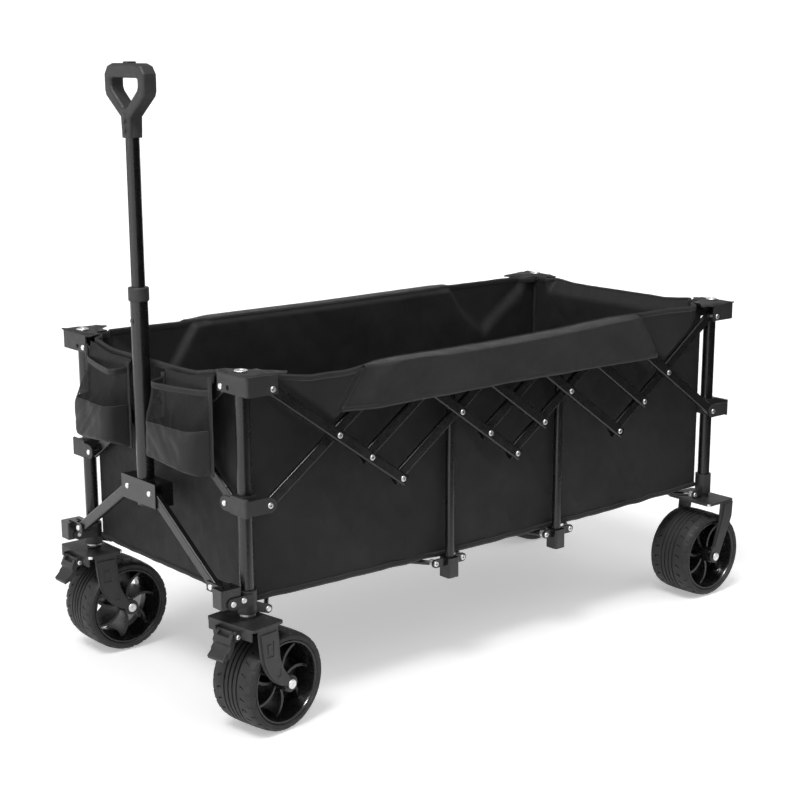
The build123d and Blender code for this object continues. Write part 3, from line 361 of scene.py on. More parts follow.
def stitch_line(cloth, across, pitch, thread_colour):
    """Adds one row of stitches at a given distance along V, in metres."""
    parts = cloth.node("ShaderNodeSeparateXYZ")
    cloth.link(cloth.place, parts.inputs["Vector"])
    offset = cloth.math("ABSOLUTE", cloth.math("SUBTRACT", parts.outputs["Y"], across))
    row = cloth.span(offset, 0.0009, 0.0004)
    cycle = cloth.math("FRACT", cloth.math("DIVIDE", parts.outputs["X"], pitch))
    dash = cloth.math("LESS_THAN", cycle, 0.68)
    stitch = cloth.math("MULTIPLY", row, dash)
    cloth.tint(stitch, thread_colour)
    cloth.bump(stitch, 0.35, 0.9)
    cloth.bump(row, -0.3, 0.6)


def binding_tape():
    """Woven edge tape with cross ribs and two rows of stitches."""
    tape = woven("binding_tape", (0.015, 0.015, 0.015), (0.027, 0.027, 0.026), 0.6, 0.0008, 0.06)
    tape.bump(tape.bands(0.0016, "X"), 0.15, 0.5)
    for across in (0.0022, 0.0098):
        stitch_line(tape, across, 0.0042, (0.05, 0.05, 0.05))
    return tape


def pocket_thread():
    """The knitted thread of the pocket nets."""
    net = Finish("pocket_net", (0.012, 0.012, 0.012), 0.55)
    net.mottle(net.noise(220.0), (0.03, 0.03, 0.03), 1.0, high=0.7, low=0.4)
    net.bump(net.noise(2500.0), 0.05, 0.5)
    return net


def post_paint():
    """Semi-gloss black paint on the round tubes."""
    post = Finish("post_paint", (0.0045, 0.0045, 0.0045), 0.30)
    post.mottle(post.noise(14.0, 5.0), (0.009, 0.009, 0.009), 0.5)
    post.roughness(post.noise(40.0, 4.0), 0.24, 0.36)
    post.bump(post.noise(1500.0, 2.0), 0.02, 0.25)
    post.shader.inputs["Coat Weight"].default_value = 0.25
    post.shader.inputs["Coat Roughness"].default_value = 0.25
    return post


def bar_paint():
    """Semi-gloss black paint on the flat bars."""
    bar = Finish("bar_paint", (0.0075, 0.0075, 0.0075), 0.30)
    bar.mottle(bar.noise(18.0, 5.0, (1, 1, 4)), (0.013, 0.013, 0.0125), 0.5)
    bar.roughness(bar.noise(45.0, 4.0), 0.22, 0.34)
    bar.bump(bar.noise(1300.0, 2.0), 0.02, 0.12)
    return bar


def moulded_plastic():
    """Fine-grained black nylon of the brackets, sockets, forks and pedals."""
    moulded = Finish("moulded_plastic", (0.019, 0.019, 0.0187), 0.40)
    moulded.worn_edges(1.4, (0.035, 0.035, 0.035), 0.5)
    moulded.mottle(moulded.noise(25.0, 4.0), (0.026, 0.026, 0.0255), 0.6)
    moulded.roughness(moulded.noise(60.0), 0.42, 0.56)
    moulded.bump(moulded.cells(1400.0), 0.08, 0.35)
    return moulded


def soft_grip():
    """Softer, matt plastic of the grip and the collar."""
    grip = Finish("soft_grip", (0.022, 0.022, 0.022), 0.5)
    grip.worn_edges(1.5, (0.07, 0.07, 0.07), 0.4)
    grip.mottle(grip.noise(30.0, 4.0), (0.034, 0.034, 0.033), 0.6, low=0.4)
    grip.roughness(grip.noise(80.0), 0.5, 0.64)
    grip.bump(grip.cells(1100.0), 0.12, 0.4)
    return grip


def hub_plastic():
    """Smooth black plastic of the hubs."""
    hub = Finish("hub_plastic", (0.005, 0.005, 0.005), 0.26)
    hub.worn_edges(1.2, (0.03, 0.03, 0.03), 0.4)
    hub.mottle(hub.noise(40.0, 4.0), (0.009, 0.009, 0.009), 0.5)
    hub.roughness(hub.noise(90.0), 0.22, 0.34)
    hub.bump(hub.cells(1600.0), 0.05, 0.3)
    return hub


def tyre_rubber():
    """Matt, dusty rubber."""
    rubber = Finish("tyre_rubber", (0.0085, 0.0085, 0.0083), 0.5)
    rubber.worn_edges(1.2, (0.036, 0.035, 0.034), 0.45)
    rubber.mottle(rubber.noise(28.0, 5.0), (0.016, 0.0157, 0.0152), 0.6, high=0.8)
    rubber.roughness(rubber.noise(70.0), 0.55, 0.72)
    rubber.bump(rubber.noise(900.0, 3.0), 0.12, 0.4)
    return rubber


def zinc_plate():
    """Dull zinc plating of the rivets, bolts and eyelets."""
    zinc = Finish("zinc_plate", (0.86, 0.86, 0.85), 0.42, metallic=1.0)
    zinc.soft_edges(0.6)
    zinc.mottle(zinc.noise(160.0, 4.0), (0.62, 0.62, 0.61), 0.7, low=0.4)
    zinc.roughness(zinc.noise(300.0), 0.36, 0.52)
    zinc.bump(zinc.noise(1800.0), 0.03, 0.4)
    return zinc


def make_finishes():
    """Every finish of the wagon, as materials by name."""
    weave = 0.0011
    made = (
        woven("wall_cloth", (0.0125, 0.012, 0.012), (0.021, 0.0205, 0.020), 0.62, weave, 0.03),
        woven("flap_cloth", (0.017, 0.0165, 0.016), (0.030, 0.0295, 0.0285), 0.54, weave, 0.05),
        woven("floor_cloth", (0.013, 0.013, 0.013), (0.021, 0.021, 0.020), 0.66, weave, 0.03),
        binding_tape(), pocket_thread(), post_paint(), bar_paint(), moulded_plastic(),
        soft_grip(), hub_plastic(), tyre_rubber(), zinc_plate(),
    )
    return {finish.name: finish.material for finish in made}


# ---------------------------------------------------------------- CAD nodes
# The first row whose word is in a node's name gives its finish.
NODE_FINISH = (
    ("brake_pedal", "moulded_plastic"), ("fork", "moulded_plastic"), ("tyre", "tyre_rubber"),
    ("hub", "hub_plastic"), ("grip", "soft_grip"), ("collar", "soft_grip"),
    ("fasteners", "zinc_plate"), ("fittings", "moulded_plastic"), ("brackets", "moulded_plastic"),
    ("sliders", "moulded_plastic"), ("posts", "post_paint"), ("middle_post", "post_paint"),
    ("handle", "post_paint"), ("spokes", "bar_paint"), ("bar", "bar_paint"),
)
# Nodes without rivets or bolts of their own
PLAIN_NODES = ("brackets", "fittings", "hub", "tyre", "collar", "tube", "grip", "posts")


def mesh_patches(mesh):
    """The smooth patch that each face belongs to: faces that share vertices."""
    parent = list(range(len(mesh.vertices)))

    def root(i):
        """The vertex that stands for the patch of vertex i."""
        while parent[i] != i:
            parent[i] = parent[parent[i]]
            i = parent[i]
        return i

    for face in mesh.polygons:
        first = root(face.vertices[0])
        for vertex in face.vertices[1:]:
            parent[root(vertex)] = first
    return np.array([root(face.vertices[0]) for face in mesh.polygons])


def is_round_and_small(size):
    """True for the extents, in metres, of a bolt head or rivet head."""
    smallest_head, largest_head, roundness = 0.004, 0.019, 0.93
    _, width, length = sorted(size)
    return smallest_head < length < largest_head and width > roundness * length


def finish_node(name, node, finishes):
    """Gives a CAD node its finish, and its bolts and rivets a zinc one."""
    found = next(finish for part, finish in NODE_FINISH if part in name)
    mesh = node.data
    mesh.materials.clear()
    mesh.materials.append(finishes[found])
    if any(part in name for part in PLAIN_NODES):
        return
    mesh.materials.append(finishes["zinc_plate"])
    patches = mesh_patches(mesh)
    places = np.array([v.co for v in mesh.vertices])
    corners = {}
    for face, patch in zip(mesh.polygons, patches):
        corners.setdefault(patch, set()).update(face.vertices)
    zinc = {patch for patch, vertices in corners.items()
            if is_round_and_small(np.ptp(places[list(vertices)], axis=0))}
    for face, patch in zip(mesh.polygons, patches):
        face.material_index = 1 if patch in zinc else 0


# ---------------------------------------------------------------- mesh helpers
def along(table, x):
    """A value read off a list of (place, value) pairs."""
    return np.interp(x, [p for p, _ in table], [v for _, v in table])


def clamp(t):
    """Holds a value between 0 and 1."""
    return min(1.0, max(0.0, t))


def ease(t):
    """A smooth step from 0 to 1 as t goes from 0 to 1."""
    t = clamp(t)
    return t * t * (3 - 2 * t)


def ripple(a, b, scale, seed):
    """Smooth unevenness from -1 to 1."""
    return noise.noise(Vector((a / scale, b / scale, seed)))


def crease(a, b, scale, seed):
    """Unevenness with narrow ridges, from 0 to 1."""
    return (1 - abs(ripple(a, b, scale, seed))) ** 3


def add_piece(name, vertices, faces, material, uvs=None):
    """A mesh object from vertices in millimetres, smooth shaded, with UVs in metres."""
    mesh = bpy.data.meshes.new(name)
    mesh.from_pydata([tuple(c * MM for c in v) for v in vertices], [], faces)
    mesh.materials.append(material)
    layer = mesh.uv_layers.new(name="cloth")
    for loop in mesh.loops:
        if uvs is None:
            co = mesh.vertices[loop.vertex_index].co
            layer.data[loop.index].uv = (co.x + co.y, co.z)
        else:
            u, v = uvs[loop.vertex_index]
            layer.data[loop.index].uv = (u * MM, v * MM)
    mesh.shade_smooth()
    piece = bpy.data.objects.new(name, mesh)
    bpy.context.scene.collection.objects.link(piece)
    return piece


def apply_modifiers(piece):
    """Turns a piece's modifiers into its mesh."""
    graph = bpy.context.evaluated_depsgraph_get()
    bpy.context.view_layer.update()
    mesh = bpy.data.meshes.new_from_object(piece.evaluated_get(graph))
    piece.modifiers.clear()
    piece.data = mesh
    return piece


def thicken(piece, thickness):
    """Gives a cloth surface its thickness, half on each side."""
    made = piece.modifiers.new("thickness", "SOLIDIFY")
    made.thickness = thickness * MM
    made.offset = 0.0
    return apply_modifiers(piece)


def cloth_grid(name, rows, material, thickness=CLOTH):
    """A sheet through rows of points, with UVs that follow its real lengths."""
    points = np.array(rows, float)
    count_v, count_u, _ = points.shape
    across = np.zeros((count_v, count_u))
    up = np.zeros((count_v, count_u))
    across[:, 1:] = np.cumsum(np.linalg.norm(np.diff(points, axis=1), axis=2), axis=1)
    up[1:, :] = np.cumsum(np.linalg.norm(np.diff(points, axis=0), axis=2), axis=0)
    across = np.repeat(across.mean(axis=0)[None, :], count_v, axis=0)
    uvs = np.stack([across, up], axis=2).reshape(-1, 2)
    faces = []
    for j in range(count_v - 1):
        for i in range(count_u - 1):
            low = j * count_u + i
            faces.append((low, low + 1, low + count_u + 1, low + count_u))
    piece = add_piece(name, points.reshape(-1, 3), faces, material, uvs)
    return thicken(piece, thickness)


def sweep(name, path, section, up, material, closed=False):
    """A strip with a closed section, (side, up) points, carried along a path of points."""
    path = np.array(path, float)
    if closed:
        ahead = np.roll(path, -1, axis=0) - np.roll(path, 1, axis=0)
    else:
        ahead = np.gradient(path, axis=0)
    ahead /= np.linalg.norm(ahead, axis=1)[:, None]
    ups = np.repeat([up], len(path), axis=0).astype(float)
    side = np.cross(ahead, ups)
    side /= np.linalg.norm(side, axis=1)[:, None]
    ups = np.cross(side, ahead)
    n = len(section)
    walk = np.concatenate([[0], np.cumsum(np.linalg.norm(np.diff(path, axis=0), axis=1))])
    vertices, uvs = [], []
    lowest = min(b for _, b in section)
    for k, point in enumerate(path):
        for a, b in section:
            vertices.append(point + side[k] * a + ups[k] * b)
            uvs.append((walk[k], b - lowest))
    faces = []
    rings = len(path) if closed else len(path) - 1
    for k in range(rings):
        for i in range(n):
            a, b = k * n + i, k * n + (i + 1) % n
            c, d = ((k + 1) % len(path)) * n + (i + 1) % n, ((k + 1) % len(path)) * n + i
            faces.append((a, b, c, d))
    if not closed:
        faces.append(tuple(reversed(range(n))))
        faces.append(tuple(range((len(path) - 1) * n, len(path) * n)))
    return add_piece(name, vertices, faces, material, uvs)


def oval(half_width, half_height, count=12, low=0.0):
    """Points round an oval with flattened sides, as (side, up) pairs, from low upwards."""
    points = []
    squareness = 0.35
    for i in range(count):
        angle = 2 * math.pi * i / count
        a, b = math.cos(angle), math.sin(angle)
        swell = max(abs(a), abs(b)) ** squareness
        points.append((half_width * a / swell, low + half_height + half_height * b / swell))
    return points


def fold_with_frame(piece):
    """Rides on the front frame, with a mesh of its own."""
    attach(piece, "front_frame")
    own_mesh(piece)


# ---------------------------------------------------------------- tub walls
# Heights and distances out along the wagon, as (place, value) pairs
NEAR_RIM = ((-573, 624), (-545, 623), (-510, 618), (-470, 613), (-400, 612), (-340, 616),
            (-280, 620), (-140, 620), (0, 621), (140, 625), (280, 631), (410, 632),
            (520, 628), (574, 624))
FAR_RIM = ((-573, 624), (-500, 624), (-390, 622), (-280, 624), (0, 624), (280, 627),
           (520, 627), (574, 624))
RIM_SIDE = ((-573, 243.5), (-548, 246), (-536, 262), (-520, 281), (-496, RIM_Y),
            (-372, RIM_Y), (-350, 281), (-310, RIM_IN), (285, RIM_IN), (325, 281), (345, RIM_Y),
            (496, RIM_Y), (520, 281), (536, 262), (548, 246), (574, 243.5))
BOTTOM = ((-573, 231), (-500, 229), (-300, 226), (0, 224), (300, 226), (500, 229), (574, 231))


def rim_out(x, side):
    """How far out the rim of a side wall lies. The far one is pulled straighter."""
    return min(along(RIM_SIDE, x), RIM_Y if side < 0 else RIM_IN + 6)


def rim_height(x, side):
    """Height of the rim of a side wall, lower where it lies inside the lattice."""
    inside = (RIM_Y - along(RIM_SIDE, x)) / (RIM_Y - RIM_IN)
    dip = 5.7 * clamp(inside) if side < 0 and abs(x) < 400 else 0.0
    return along(NEAR_RIM if side < 0 else FAR_RIM, x) - dip + 0.8 * ripple(x, 0, 38, 3.1 * side)


def fold_height(x, side):
    """Height of the fold along the top of a flap, over the ends of the bars."""
    if side > 0:
        return along(FAR_RIM, x) - 2.0
    return along(NEAR_RIM, x) - 1.0 - 4.0 * ease((x + 230) / 70)


def seam_x(z, side, front):
    """Where the slanted end of the flap is, at a height."""
    x0 = FLAP_FRONT if front else FLAP_REAR
    level = (z - FLAP_BOTTOM) / (fold_height(x0, side) - FLAP_BOTTOM)
    slope = FLAP_SLOPE if front else -FLAP_SLOPE
    return x0 + slope * clamp(level)


def lean_share(x, z, side):
    """How much of the way out to the rim the wall stands, beside the flap and above the bars."""
    if x < 0:
        clear = ease((seam_x(z, side, True) + 20 - x) / 20)
        bars = CROSS_Z + BAR_SLOPE * abs(x - FRONT_CROSS)
    else:
        clear = ease((x - seam_x(z, side, False) + 20) / 20)
        bars = CROSS_Z + BAR_SLOPE * abs(x - REAR_CROSS)
    return clear * ease((z - bars + 3) / 34)


def wall_out(x, z, side):
    """How far out the side wall stands at a place."""
    rim = rim_height(x, side)
    edge = min((x - TUB_FRONT) / 60, (TUB_REAR - x) / 60, 1.0)
    lively = ease(edge)
    middle = math.sin(math.pi * clamp((z - WALL_LOW_Z) / WALL_BELLY_HEIGHT))
    out = WALL_Y + 2.6 * middle * lively
    out += lively * (2.2 * ripple(x, 0.55 * z, 95, 5 + side) + 1.0 * ripple(x, z, 40, 9 + side))
    pull = crease(x + 0.6 * z, 0.25 * (z - 0.4 * x), 60, 12 + side)
    out += lively * 1.9 * (pull - 0.4)
    out = min(out, WALL_LIMIT)
    top = rim_out(x, side)
    share = lean_share(x, z, side)
    near_rim = ease((z - rim + 12) / 12)
    return out + (top - out) * max(share, near_rim)


def side_wall(side, name, material):
    """One long wall, from its bottom roll up to the rim."""
    xs = np.linspace(TUB_FRONT, TUB_REAR, 231)
    rows = []
    levels = np.concatenate([np.linspace(0, 0.9, 52), np.linspace(0.91, 1.0, 14)])
    for level in levels:
        row = []
        for x in xs:
            bottom = along(BOTTOM, x)
            z = bottom + level * (rim_height(x, side) - bottom)
            row.append((x, side * wall_out(x, z, side), z))
        rows.append(row)
    return cloth_grid(name, rows, material)


def flap_drop(x, side):
    """Lowest edge of the flap at a place along it."""
    sag = 3.0 * math.sin(math.pi * (x - FLAP_FRONT) / (FLAP_REAR - FLAP_FRONT))
    return FLAP_BOTTOM + sag + 1.2 * ripple(x, 0, 70, 21 + side)


def flap_span(level):
    """Where the flap starts and stops along the wagon, at level 0 at its foot to 1 at its top."""
    return FLAP_FRONT + FLAP_SLOPE * level, FLAP_REAR - FLAP_SLOPE * level


def flap_out(x, level, side):
    """How far out the flap stands, level 0 at its lower edge and 1 at its top."""
    start, stop = flap_span(level)
    near_front = ease((x - start) / 70)
    near_rear = ease((stop - x) / 34)
    front_y = FLAP_FRONT_END_Y + (FLAP_Y - FLAP_FRONT_END_Y) * near_front
    rear_y = FLAP_REAR_END_Y + (FLAP_Y - FLAP_REAR_END_Y) * near_rear
    out = min(front_y, rear_y)
    soft = near_front * near_rear * math.sin(math.pi * min(1.0, level * 1.1))
    out += soft * 2.0 * ripple(x + 90 * level, 60 * level, 85, 31 + side)
    out += soft * 1.0 * (crease(x - 120 * level, 40 * level, 70, 33 + side) - 0.4)
    over_bars = near_front > 0.99 and near_rear > 0.99
    return max(out, BAR_CLEAR_Y if over_bars else BAR_END_CLEAR_Y)


def side_flap(side, name, material):
    """The outer flap, with the strip that carries it over the lattice to the rim."""
    count = 190
    rows = []
    for level in np.linspace(0, 1, 20):
        start, stop = flap_span(level)
        row = []
        for x in np.linspace(start, stop, count):
            low = flap_drop(x, side)
            high = fold_height(x, side)
            row.append((x, side * flap_out(x, level, side), low + level * (high - low)))
        rows.append(row)
    start, stop = flap_span(1.0)
    for step in np.linspace(0.06, 1.0, 12):
        row = []
        for x in np.linspace(start, stop, count):
            outer = flap_out(x, 1.0, side)
            inner = rim_out(x, side) - 1
            start_z, end_z = fold_height(x, side), rim_height(x, side) + 0.8
            y = outer + (inner - outer) * step ** 1.3
            z = start_z + (end_z - start_z) * step + 2.2 * math.sin(math.pi * step) ** 0.7
            row.append((x, side * y, z))
        rows.append(row)
    return cloth_grid(name, rows, material)


def rim_path(side, lift):
    """The line along the rim of a side wall."""
    xs = np.linspace(TUB_FRONT, TUB_REAR, 220)
    return [(x, side * rim_out(x, side), rim_height(x, side) + lift) for x in xs]


def end_rim_height(y, end):
    """Height of the rim of an end wall, which sags between the posts."""
    middle = 613.0 if end < 0 else 619.0
    corner = 626.0
    rise = (corner - middle) * ease((abs(y) - 120) / 100)
    return middle + rise + 0.8 * ripple(y, 0, 35, 41 + end)


def end_face(y, z, end):
    """Where the end wall is along X, at a place on it."""
    post = FRONT_POST if end < 0 else REAR_POST
    rim = end_rim_height(y, end)
    inner = post - end * POST_RADIUS
    lively = ease((240 - abs(y)) / 50)
    belly = lively * (1.6 * ripple(y, 0.6 * z, 80, 51 + end) + 1.2 * (crease(y, z, 55, 53) - 0.4))
    x = inner + end * min(3.2, max(-2.0, belly))
    lean = max(0.0, (z - END_LEAN_Z) / max(1.0, rim - END_LEAN_Z)) ** 0.8
    reach = 22.0 * ease((214 - abs(y)) / 16)
    return x + end * lean * reach


def end_wall(end, name, material):
    """The wall between the two posts of an end."""
    rows = []
    for level in np.linspace(0, 1, 60):
        row = []
        for y in np.linspace(-END_HALF_WIDTH, END_HALF_WIDTH, 120):
            z = END_LOW_Z + level * (end_rim_height(y, end) - END_LOW_Z)
            row.append((end_face(y, z, end), y, z))
        rows.append(row)
    return cloth_grid(name, rows, material)


def corner_wall(end, side, name, material):
    """The narrow strip that turns the corner inside a post."""
    tub = TUB_FRONT if end < 0 else TUB_REAR
    corner = side * END_HALF_WIDTH
    rows = []
    for level in np.linspace(0, 1, 50):
        z_side = END_LOW_Z + level * (rim_height(tub, side) - END_LOW_Z)
        z_end = END_LOW_Z + level * (end_rim_height(corner, end) - END_LOW_Z)
        a = np.array((tub, side * wall_out(tub, z_side, side), z_side))
        b = np.array((end_face(corner, z_end, end), corner, z_end))
        row = []
        for t in np.linspace(0, 1, 8):
            p = a + (b - a) * t
            p[1] -= side * 2.2 * math.sin(math.pi * t)
            row.append(tuple(p))
        rows.append(row)
    return cloth_grid(name, rows, material)


def end_rim_path(end, lift):
    """The line along the rim of an end wall."""
    ys = np.linspace(-END_HALF_WIDTH, END_HALF_WIDTH, 90)
    return [(end_face(y, end_rim_height(y, end), end), y, end_rim_height(y, end) + lift)
            for y in ys]


def flap_end(side, front, name, finishes):
    """The seam down one slanted end of a flap, and the gusset behind it."""
    x0 = FLAP_FRONT if front else FLAP_REAR
    slope = FLAP_SLOPE if front else -FLAP_SLOPE
    path = []
    for level in np.linspace(0, 1, 24):
        x = x0 + slope * level
        low, high = flap_drop(x, side), fold_height(x, side)
        out = flap_out(x, level, side) + 0.4
        path.append((x, side * out, low + level * (high - low)))
    seam = sweep(f"{name}_seam", path, oval(3.2, 0.6, low=-0.5), (0, side, 0),
                 finishes["binding_tape"])
    fold_with_frame(seam)
    gusset = flap_gusset(side, x0, slope, f"{name}_gusset", finishes["wall_cloth"])
    fold_with_frame(gusset)
    return [seam, gusset]


def bottom_roll(side, name, material):
    """The rolled hem along the foot of a side wall."""
    foot = [(x, side * HEM_Y, along(BOTTOM, x) - 1.5 + 2.2 * ripple(x, 0, 42, 61 + side))
            for x in np.linspace(TUB_FRONT, TUB_REAR, 160)]
    return sweep(name, foot, oval(3.4, 5.2), UP, material)


def flap_hem(side, name, material):
    """The hem along the lower edge of a flap."""
    edge = [(x, side * (flap_out(x, 0.0, side) + 0.3), flap_drop(x, side) - 1.0)
            for x in np.linspace(FLAP_FRONT, FLAP_REAR, 150)]
    return sweep(name, edge, oval(1.6, 4.5), UP, material)


def make_tub_side(side, label, finishes):
    """A side wall with its rim and bottom roll, and the flap over its lattice."""
    wall, tape = finishes["wall_cloth"], finishes["binding_tape"]
    panel = side_wall(side, f"{label}_side_wall", wall)
    flap = side_flap(side, f"{label}_flap", finishes["flap_cloth"])
    rim = sweep(f"{label}_rim_binding", rim_path(side, -8.5), oval(2.0, 6.0), UP, tape)
    roll = bottom_roll(side, f"{label}_bottom_roll", tape)
    hem = flap_hem(side, f"{label}_flap_hem", tape)
    for piece in (panel, flap, rim, roll, hem):
        fold_with_frame(piece)
    ends = []
    for front, end_label in ((True, "front"), (False, "rear")):
        ends += flap_end(side, front, f"{label}_flap_{end_label}", finishes)
    if side < 0:
        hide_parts("tub_side_panels")
        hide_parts("side_flaps")


def flap_gusset(side, x0, slope, name, material):
    """Cloth that joins the end of a flap back to the wall behind the lattice."""
    rows = []
    gusset_width = 16
    away = -1 if slope > 0 else 1
    for level in np.linspace(0, 1, 16):
        x = x0 + slope * level
        low, high = flap_drop(x, side), fold_height(x, side)
        z = low + level * (high - low)
        outer = flap_out(x, level, side)
        row = []
        for t in np.linspace(0, 1, 9):
            reach = x + away * gusset_width * t
            inner = wall_out(reach, z, side) + 0.8
            y = outer + (inner - outer) * ease(t)
            row.append((reach, side * y, z))
        rows.append(row)
    return cloth_grid(name, rows, material, 1.0)


def make_floor(finishes):
    """The tub floor: cloth over a board, quilted across in three places."""
    rows = []
    for y in np.linspace(-FLOOR_HALF_WIDTH, FLOOR_HALF_WIDTH, 84):
        row = []
        for x in np.linspace(TUB_FRONT + 1, TUB_REAR - 1, 190):
            edge = ease(min(x - TUB_FRONT, TUB_REAR - x, FLOOR_HALF_WIDTH - abs(y)) / 30)
            uneven = 0.9 * ripple(x, y, 110, 71) + 0.7 * (crease(x, y, 70, 72) - 0.4)
            z = FLOOR_Z + edge * uneven
            for seam in FLOOR_SEAMS:
                z -= 1.5 * math.exp(-((x - seam) / 5.0) ** 2)
            row.append((x, y, min(z, FLOOR_TOP_LIMIT)))
        rows.append(row)
    floor = cloth_grid("tub_floor_cloth", rows, finishes["floor_cloth"], 2.4)
    fold_with_frame(floor)
    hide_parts("tub_floor")


def make_ends(finishes):
    """End walls, their rims, and the corner strips."""
    wall, tape = finishes["wall_cloth"], finishes["binding_tape"]
    for end, label in ENDS:
        body = f"{label}_frame"
        panel = end_wall(end, f"{label}_end_wall", wall)
        rim = sweep(f"{label}_rim_binding", end_rim_path(end, -9.0), oval(2.1, 6.2), UP, tape)
        foot_x = (FRONT_POST if end < 0 else REAR_POST) - end * POST_RADIUS
        foot = [(foot_x, y, 227.5 + 1.8 * ripple(y, 0, 38, 81))
                for y in np.linspace(-246, 246, 70)]
        hem = sweep(f"{label}_bottom_roll", foot, oval(3.2, 4.6), UP, tape)
        goes = [rim, hem]
        for side, name in SIDES:
            strip = corner_wall(end, side, f"{label}_{name}_corner_wall", wall)
            goes.append(strip)
        for piece in (panel, *goes):
            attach(piece, body)
        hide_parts(f"{label}_end_panel")


# ---------------------------------------------------------------- corner patches
PATCH_Y = 261.0
PATCH_Z = 631.2
# Plan of a corner patch: (along X, along Y) from the post, outward positive
PATCH_OUTLINE = ((20.0, 40.0), (19.5, 44.0), (-14.0, 44.6), (-50.0, 42.0), (-66.0, 34.0),
                 (-58.0, 26.0), (-34.0, 2.0), (-14.0, -20.0), (0.5, -44.0), (11.0, -52.0),
                 (18.5, -46.0), (20.0, -20.0), (20.2, 15.0))


def smooth_loop(points, count):
    """A closed, rounded loop through points, as a Catmull-Rom curve."""
    points = np.array(points, float)
    n = len(points)
    out = []
    for k in range(count):
        t = k * n / count
        i = int(t)
        f = t - i
        p0, p1, p2, p3 = (points[(i + j - 1) % n] for j in range(4))
        out.append(0.5 * ((2 * p1) + (p2 - p0) * f + (2 * p0 - 5 * p1 + 4 * p2 - p3) * f * f
                          + (3 * p1 - p0 - 3 * p2 + p3) * f ** 3))
    return np.array(out)


def corner_patch(end, side, finishes, name):
    """The cloth cap over a top bracket, with a rolled edge and a metal eyelet."""
    post = FRONT_POST if end < 0 else REAR_POST
    loop = smooth_loop(PATCH_OUTLINE, 72)
    rings = []
    for share in np.linspace(0.0, 1.0, 12):
        ring = []
        for a, b in loop:
            p = np.array((a, b)) * max(share, 0.02)
            dome = 1.2 * (1 - share ** 2)
            ruck = 2.0 * share * ripple(p[0], p[1], 13, 91 + end + 3 * side)
            ruck += 1.6 * share * (crease(p[0] - p[1], p[0] + p[1], 22, 95 + end + side) - 0.4)
            drop = 0.8 * max(0.0, share - 0.9) / 0.1
            z = PATCH_Z + dome + max(-0.2, ruck) - drop
            if share > 0.75 and (a < -16 or b < -8):
                z -= 1.5 * ease((share - 0.75) / 0.25)
            ring.append((post + end * p[0], side * (PATCH_Y + p[1]), z))
        rings.append(ring + ring[:1])
    patch = cloth_grid(f"{name}_patch", rings, finishes["flap_cloth"], 1.2)
    edge = [(v[0], v[1], v[2] - 0.2) for v in rings[-1][:-1]]
    roll = sweep(f"{name}_patch_roll", edge, oval(1.3, 1.4, 10, -1.3), UP,
                 finishes["binding_tape"], closed=True)
    eyelet = eyelet_ring(f"{name}_eyelet", (post + end * 2, side * 262, 634.4), finishes)
    parts = [roll, eyelet]
    for piece in (patch, *parts):
        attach(piece, "front_frame" if end < 0 else "rear_frame")


def eyelet_ring(name, place, finishes):
    """A rolled metal ring with a raised lip."""
    section = [(-3.2, -0.6), (-3.0, 0.6), (-1.6, 1.5), (0.2, 1.7), (1.8, 1.1), (2.6, 0.0),
               (2.4, -0.6)]
    radius = 9.0
    path = [(place[0] + radius * math.cos(a), place[1] + radius * math.sin(a), place[2])
            for a in np.linspace(0, 2 * math.pi, 40, endpoint=False)]
    return sweep(name, path, section, UP, finishes["zinc_plate"], closed=True)


# ---------------------------------------------------------------- pockets
POCKET_INNER = 60.0
POCKET_OUTER = 205.0
POCKET_TOP = 598.0
POCKET_BOTTOM = 449.0
POCKET_BACK_X = -614.8
POCKET_DEEPEST = 49.5
MOUTH_SHARE = 0.955
NET_LOW = 526.0
NET_CELL = 4.6
NET_THREAD = 0.8


def pocket_section(u, v):
    """The pocket's section at a height: depth off its back, and share of the way across."""
    inner = 34.0 + 14.0 * ease((0.95 - v) / 0.5)
    outer = 3.0 + 41.0 * ease((1.0 - v) / 0.62)
    corners = ((0.0, 0.0), (inner, 0.03), (outer, 0.93 - 0.05 * (1 - v)), (0.0, 1.0))
    stops = (0.0, 0.22, 0.80, 1.0)
    depth = np.interp(u, stops, [d for d, _ in corners])
    across = np.interp(u, stops, [a for _, a in corners])
    return depth, across


def pocket_point(u, v, side):
    """A point of the pocket's front: u across from the inner edge, v up from the bottom."""
    spread = (-0.075, -0.04, 0.0, 0.04, 0.075)
    corners = [pocket_section(clamp(u + s), v) for s in spread]
    depth, share = np.mean(corners, axis=0)
    free = math.sin(math.pi * clamp(u))
    if free < 0.25:
        edge_depth, edge_share = pocket_section(u, v)
        keep = free / 0.25
        depth = edge_depth + (depth - edge_depth) * keep
        share = edge_share + (share - edge_share) * keep
    depth *= min(1.0, v / 0.10) ** 0.5
    across = POCKET_INNER + (POCKET_OUTER - POCKET_INNER) * share
    top = POCKET_TOP - 5.0 * free * ease((v - 0.6) / 0.4)
    slant = (5.0 - 12.0 * share) * (1 - ease(v / 0.6)) * min(1.0, depth / 20)
    z = POCKET_BOTTOM + slant + v * (top - POCKET_BOTTOM)
    rumple = 2.2 * ripple(across, z, 30, 101 + side) * (1 - 0.75 * ease((v - 0.8) / 0.15))
    rumple += 2.8 * (crease(across + z, z * 0.4, 26, 103 + side) - 0.4) * (1 - ease((v - 0.7) / 0.2))
    depth += rumple * free * min(1.0, v / 0.1)
    x = POCKET_BACK_X - 1.2 - max(0.0, min(POCKET_DEEPEST, depth))
    return (x, side * across, z)


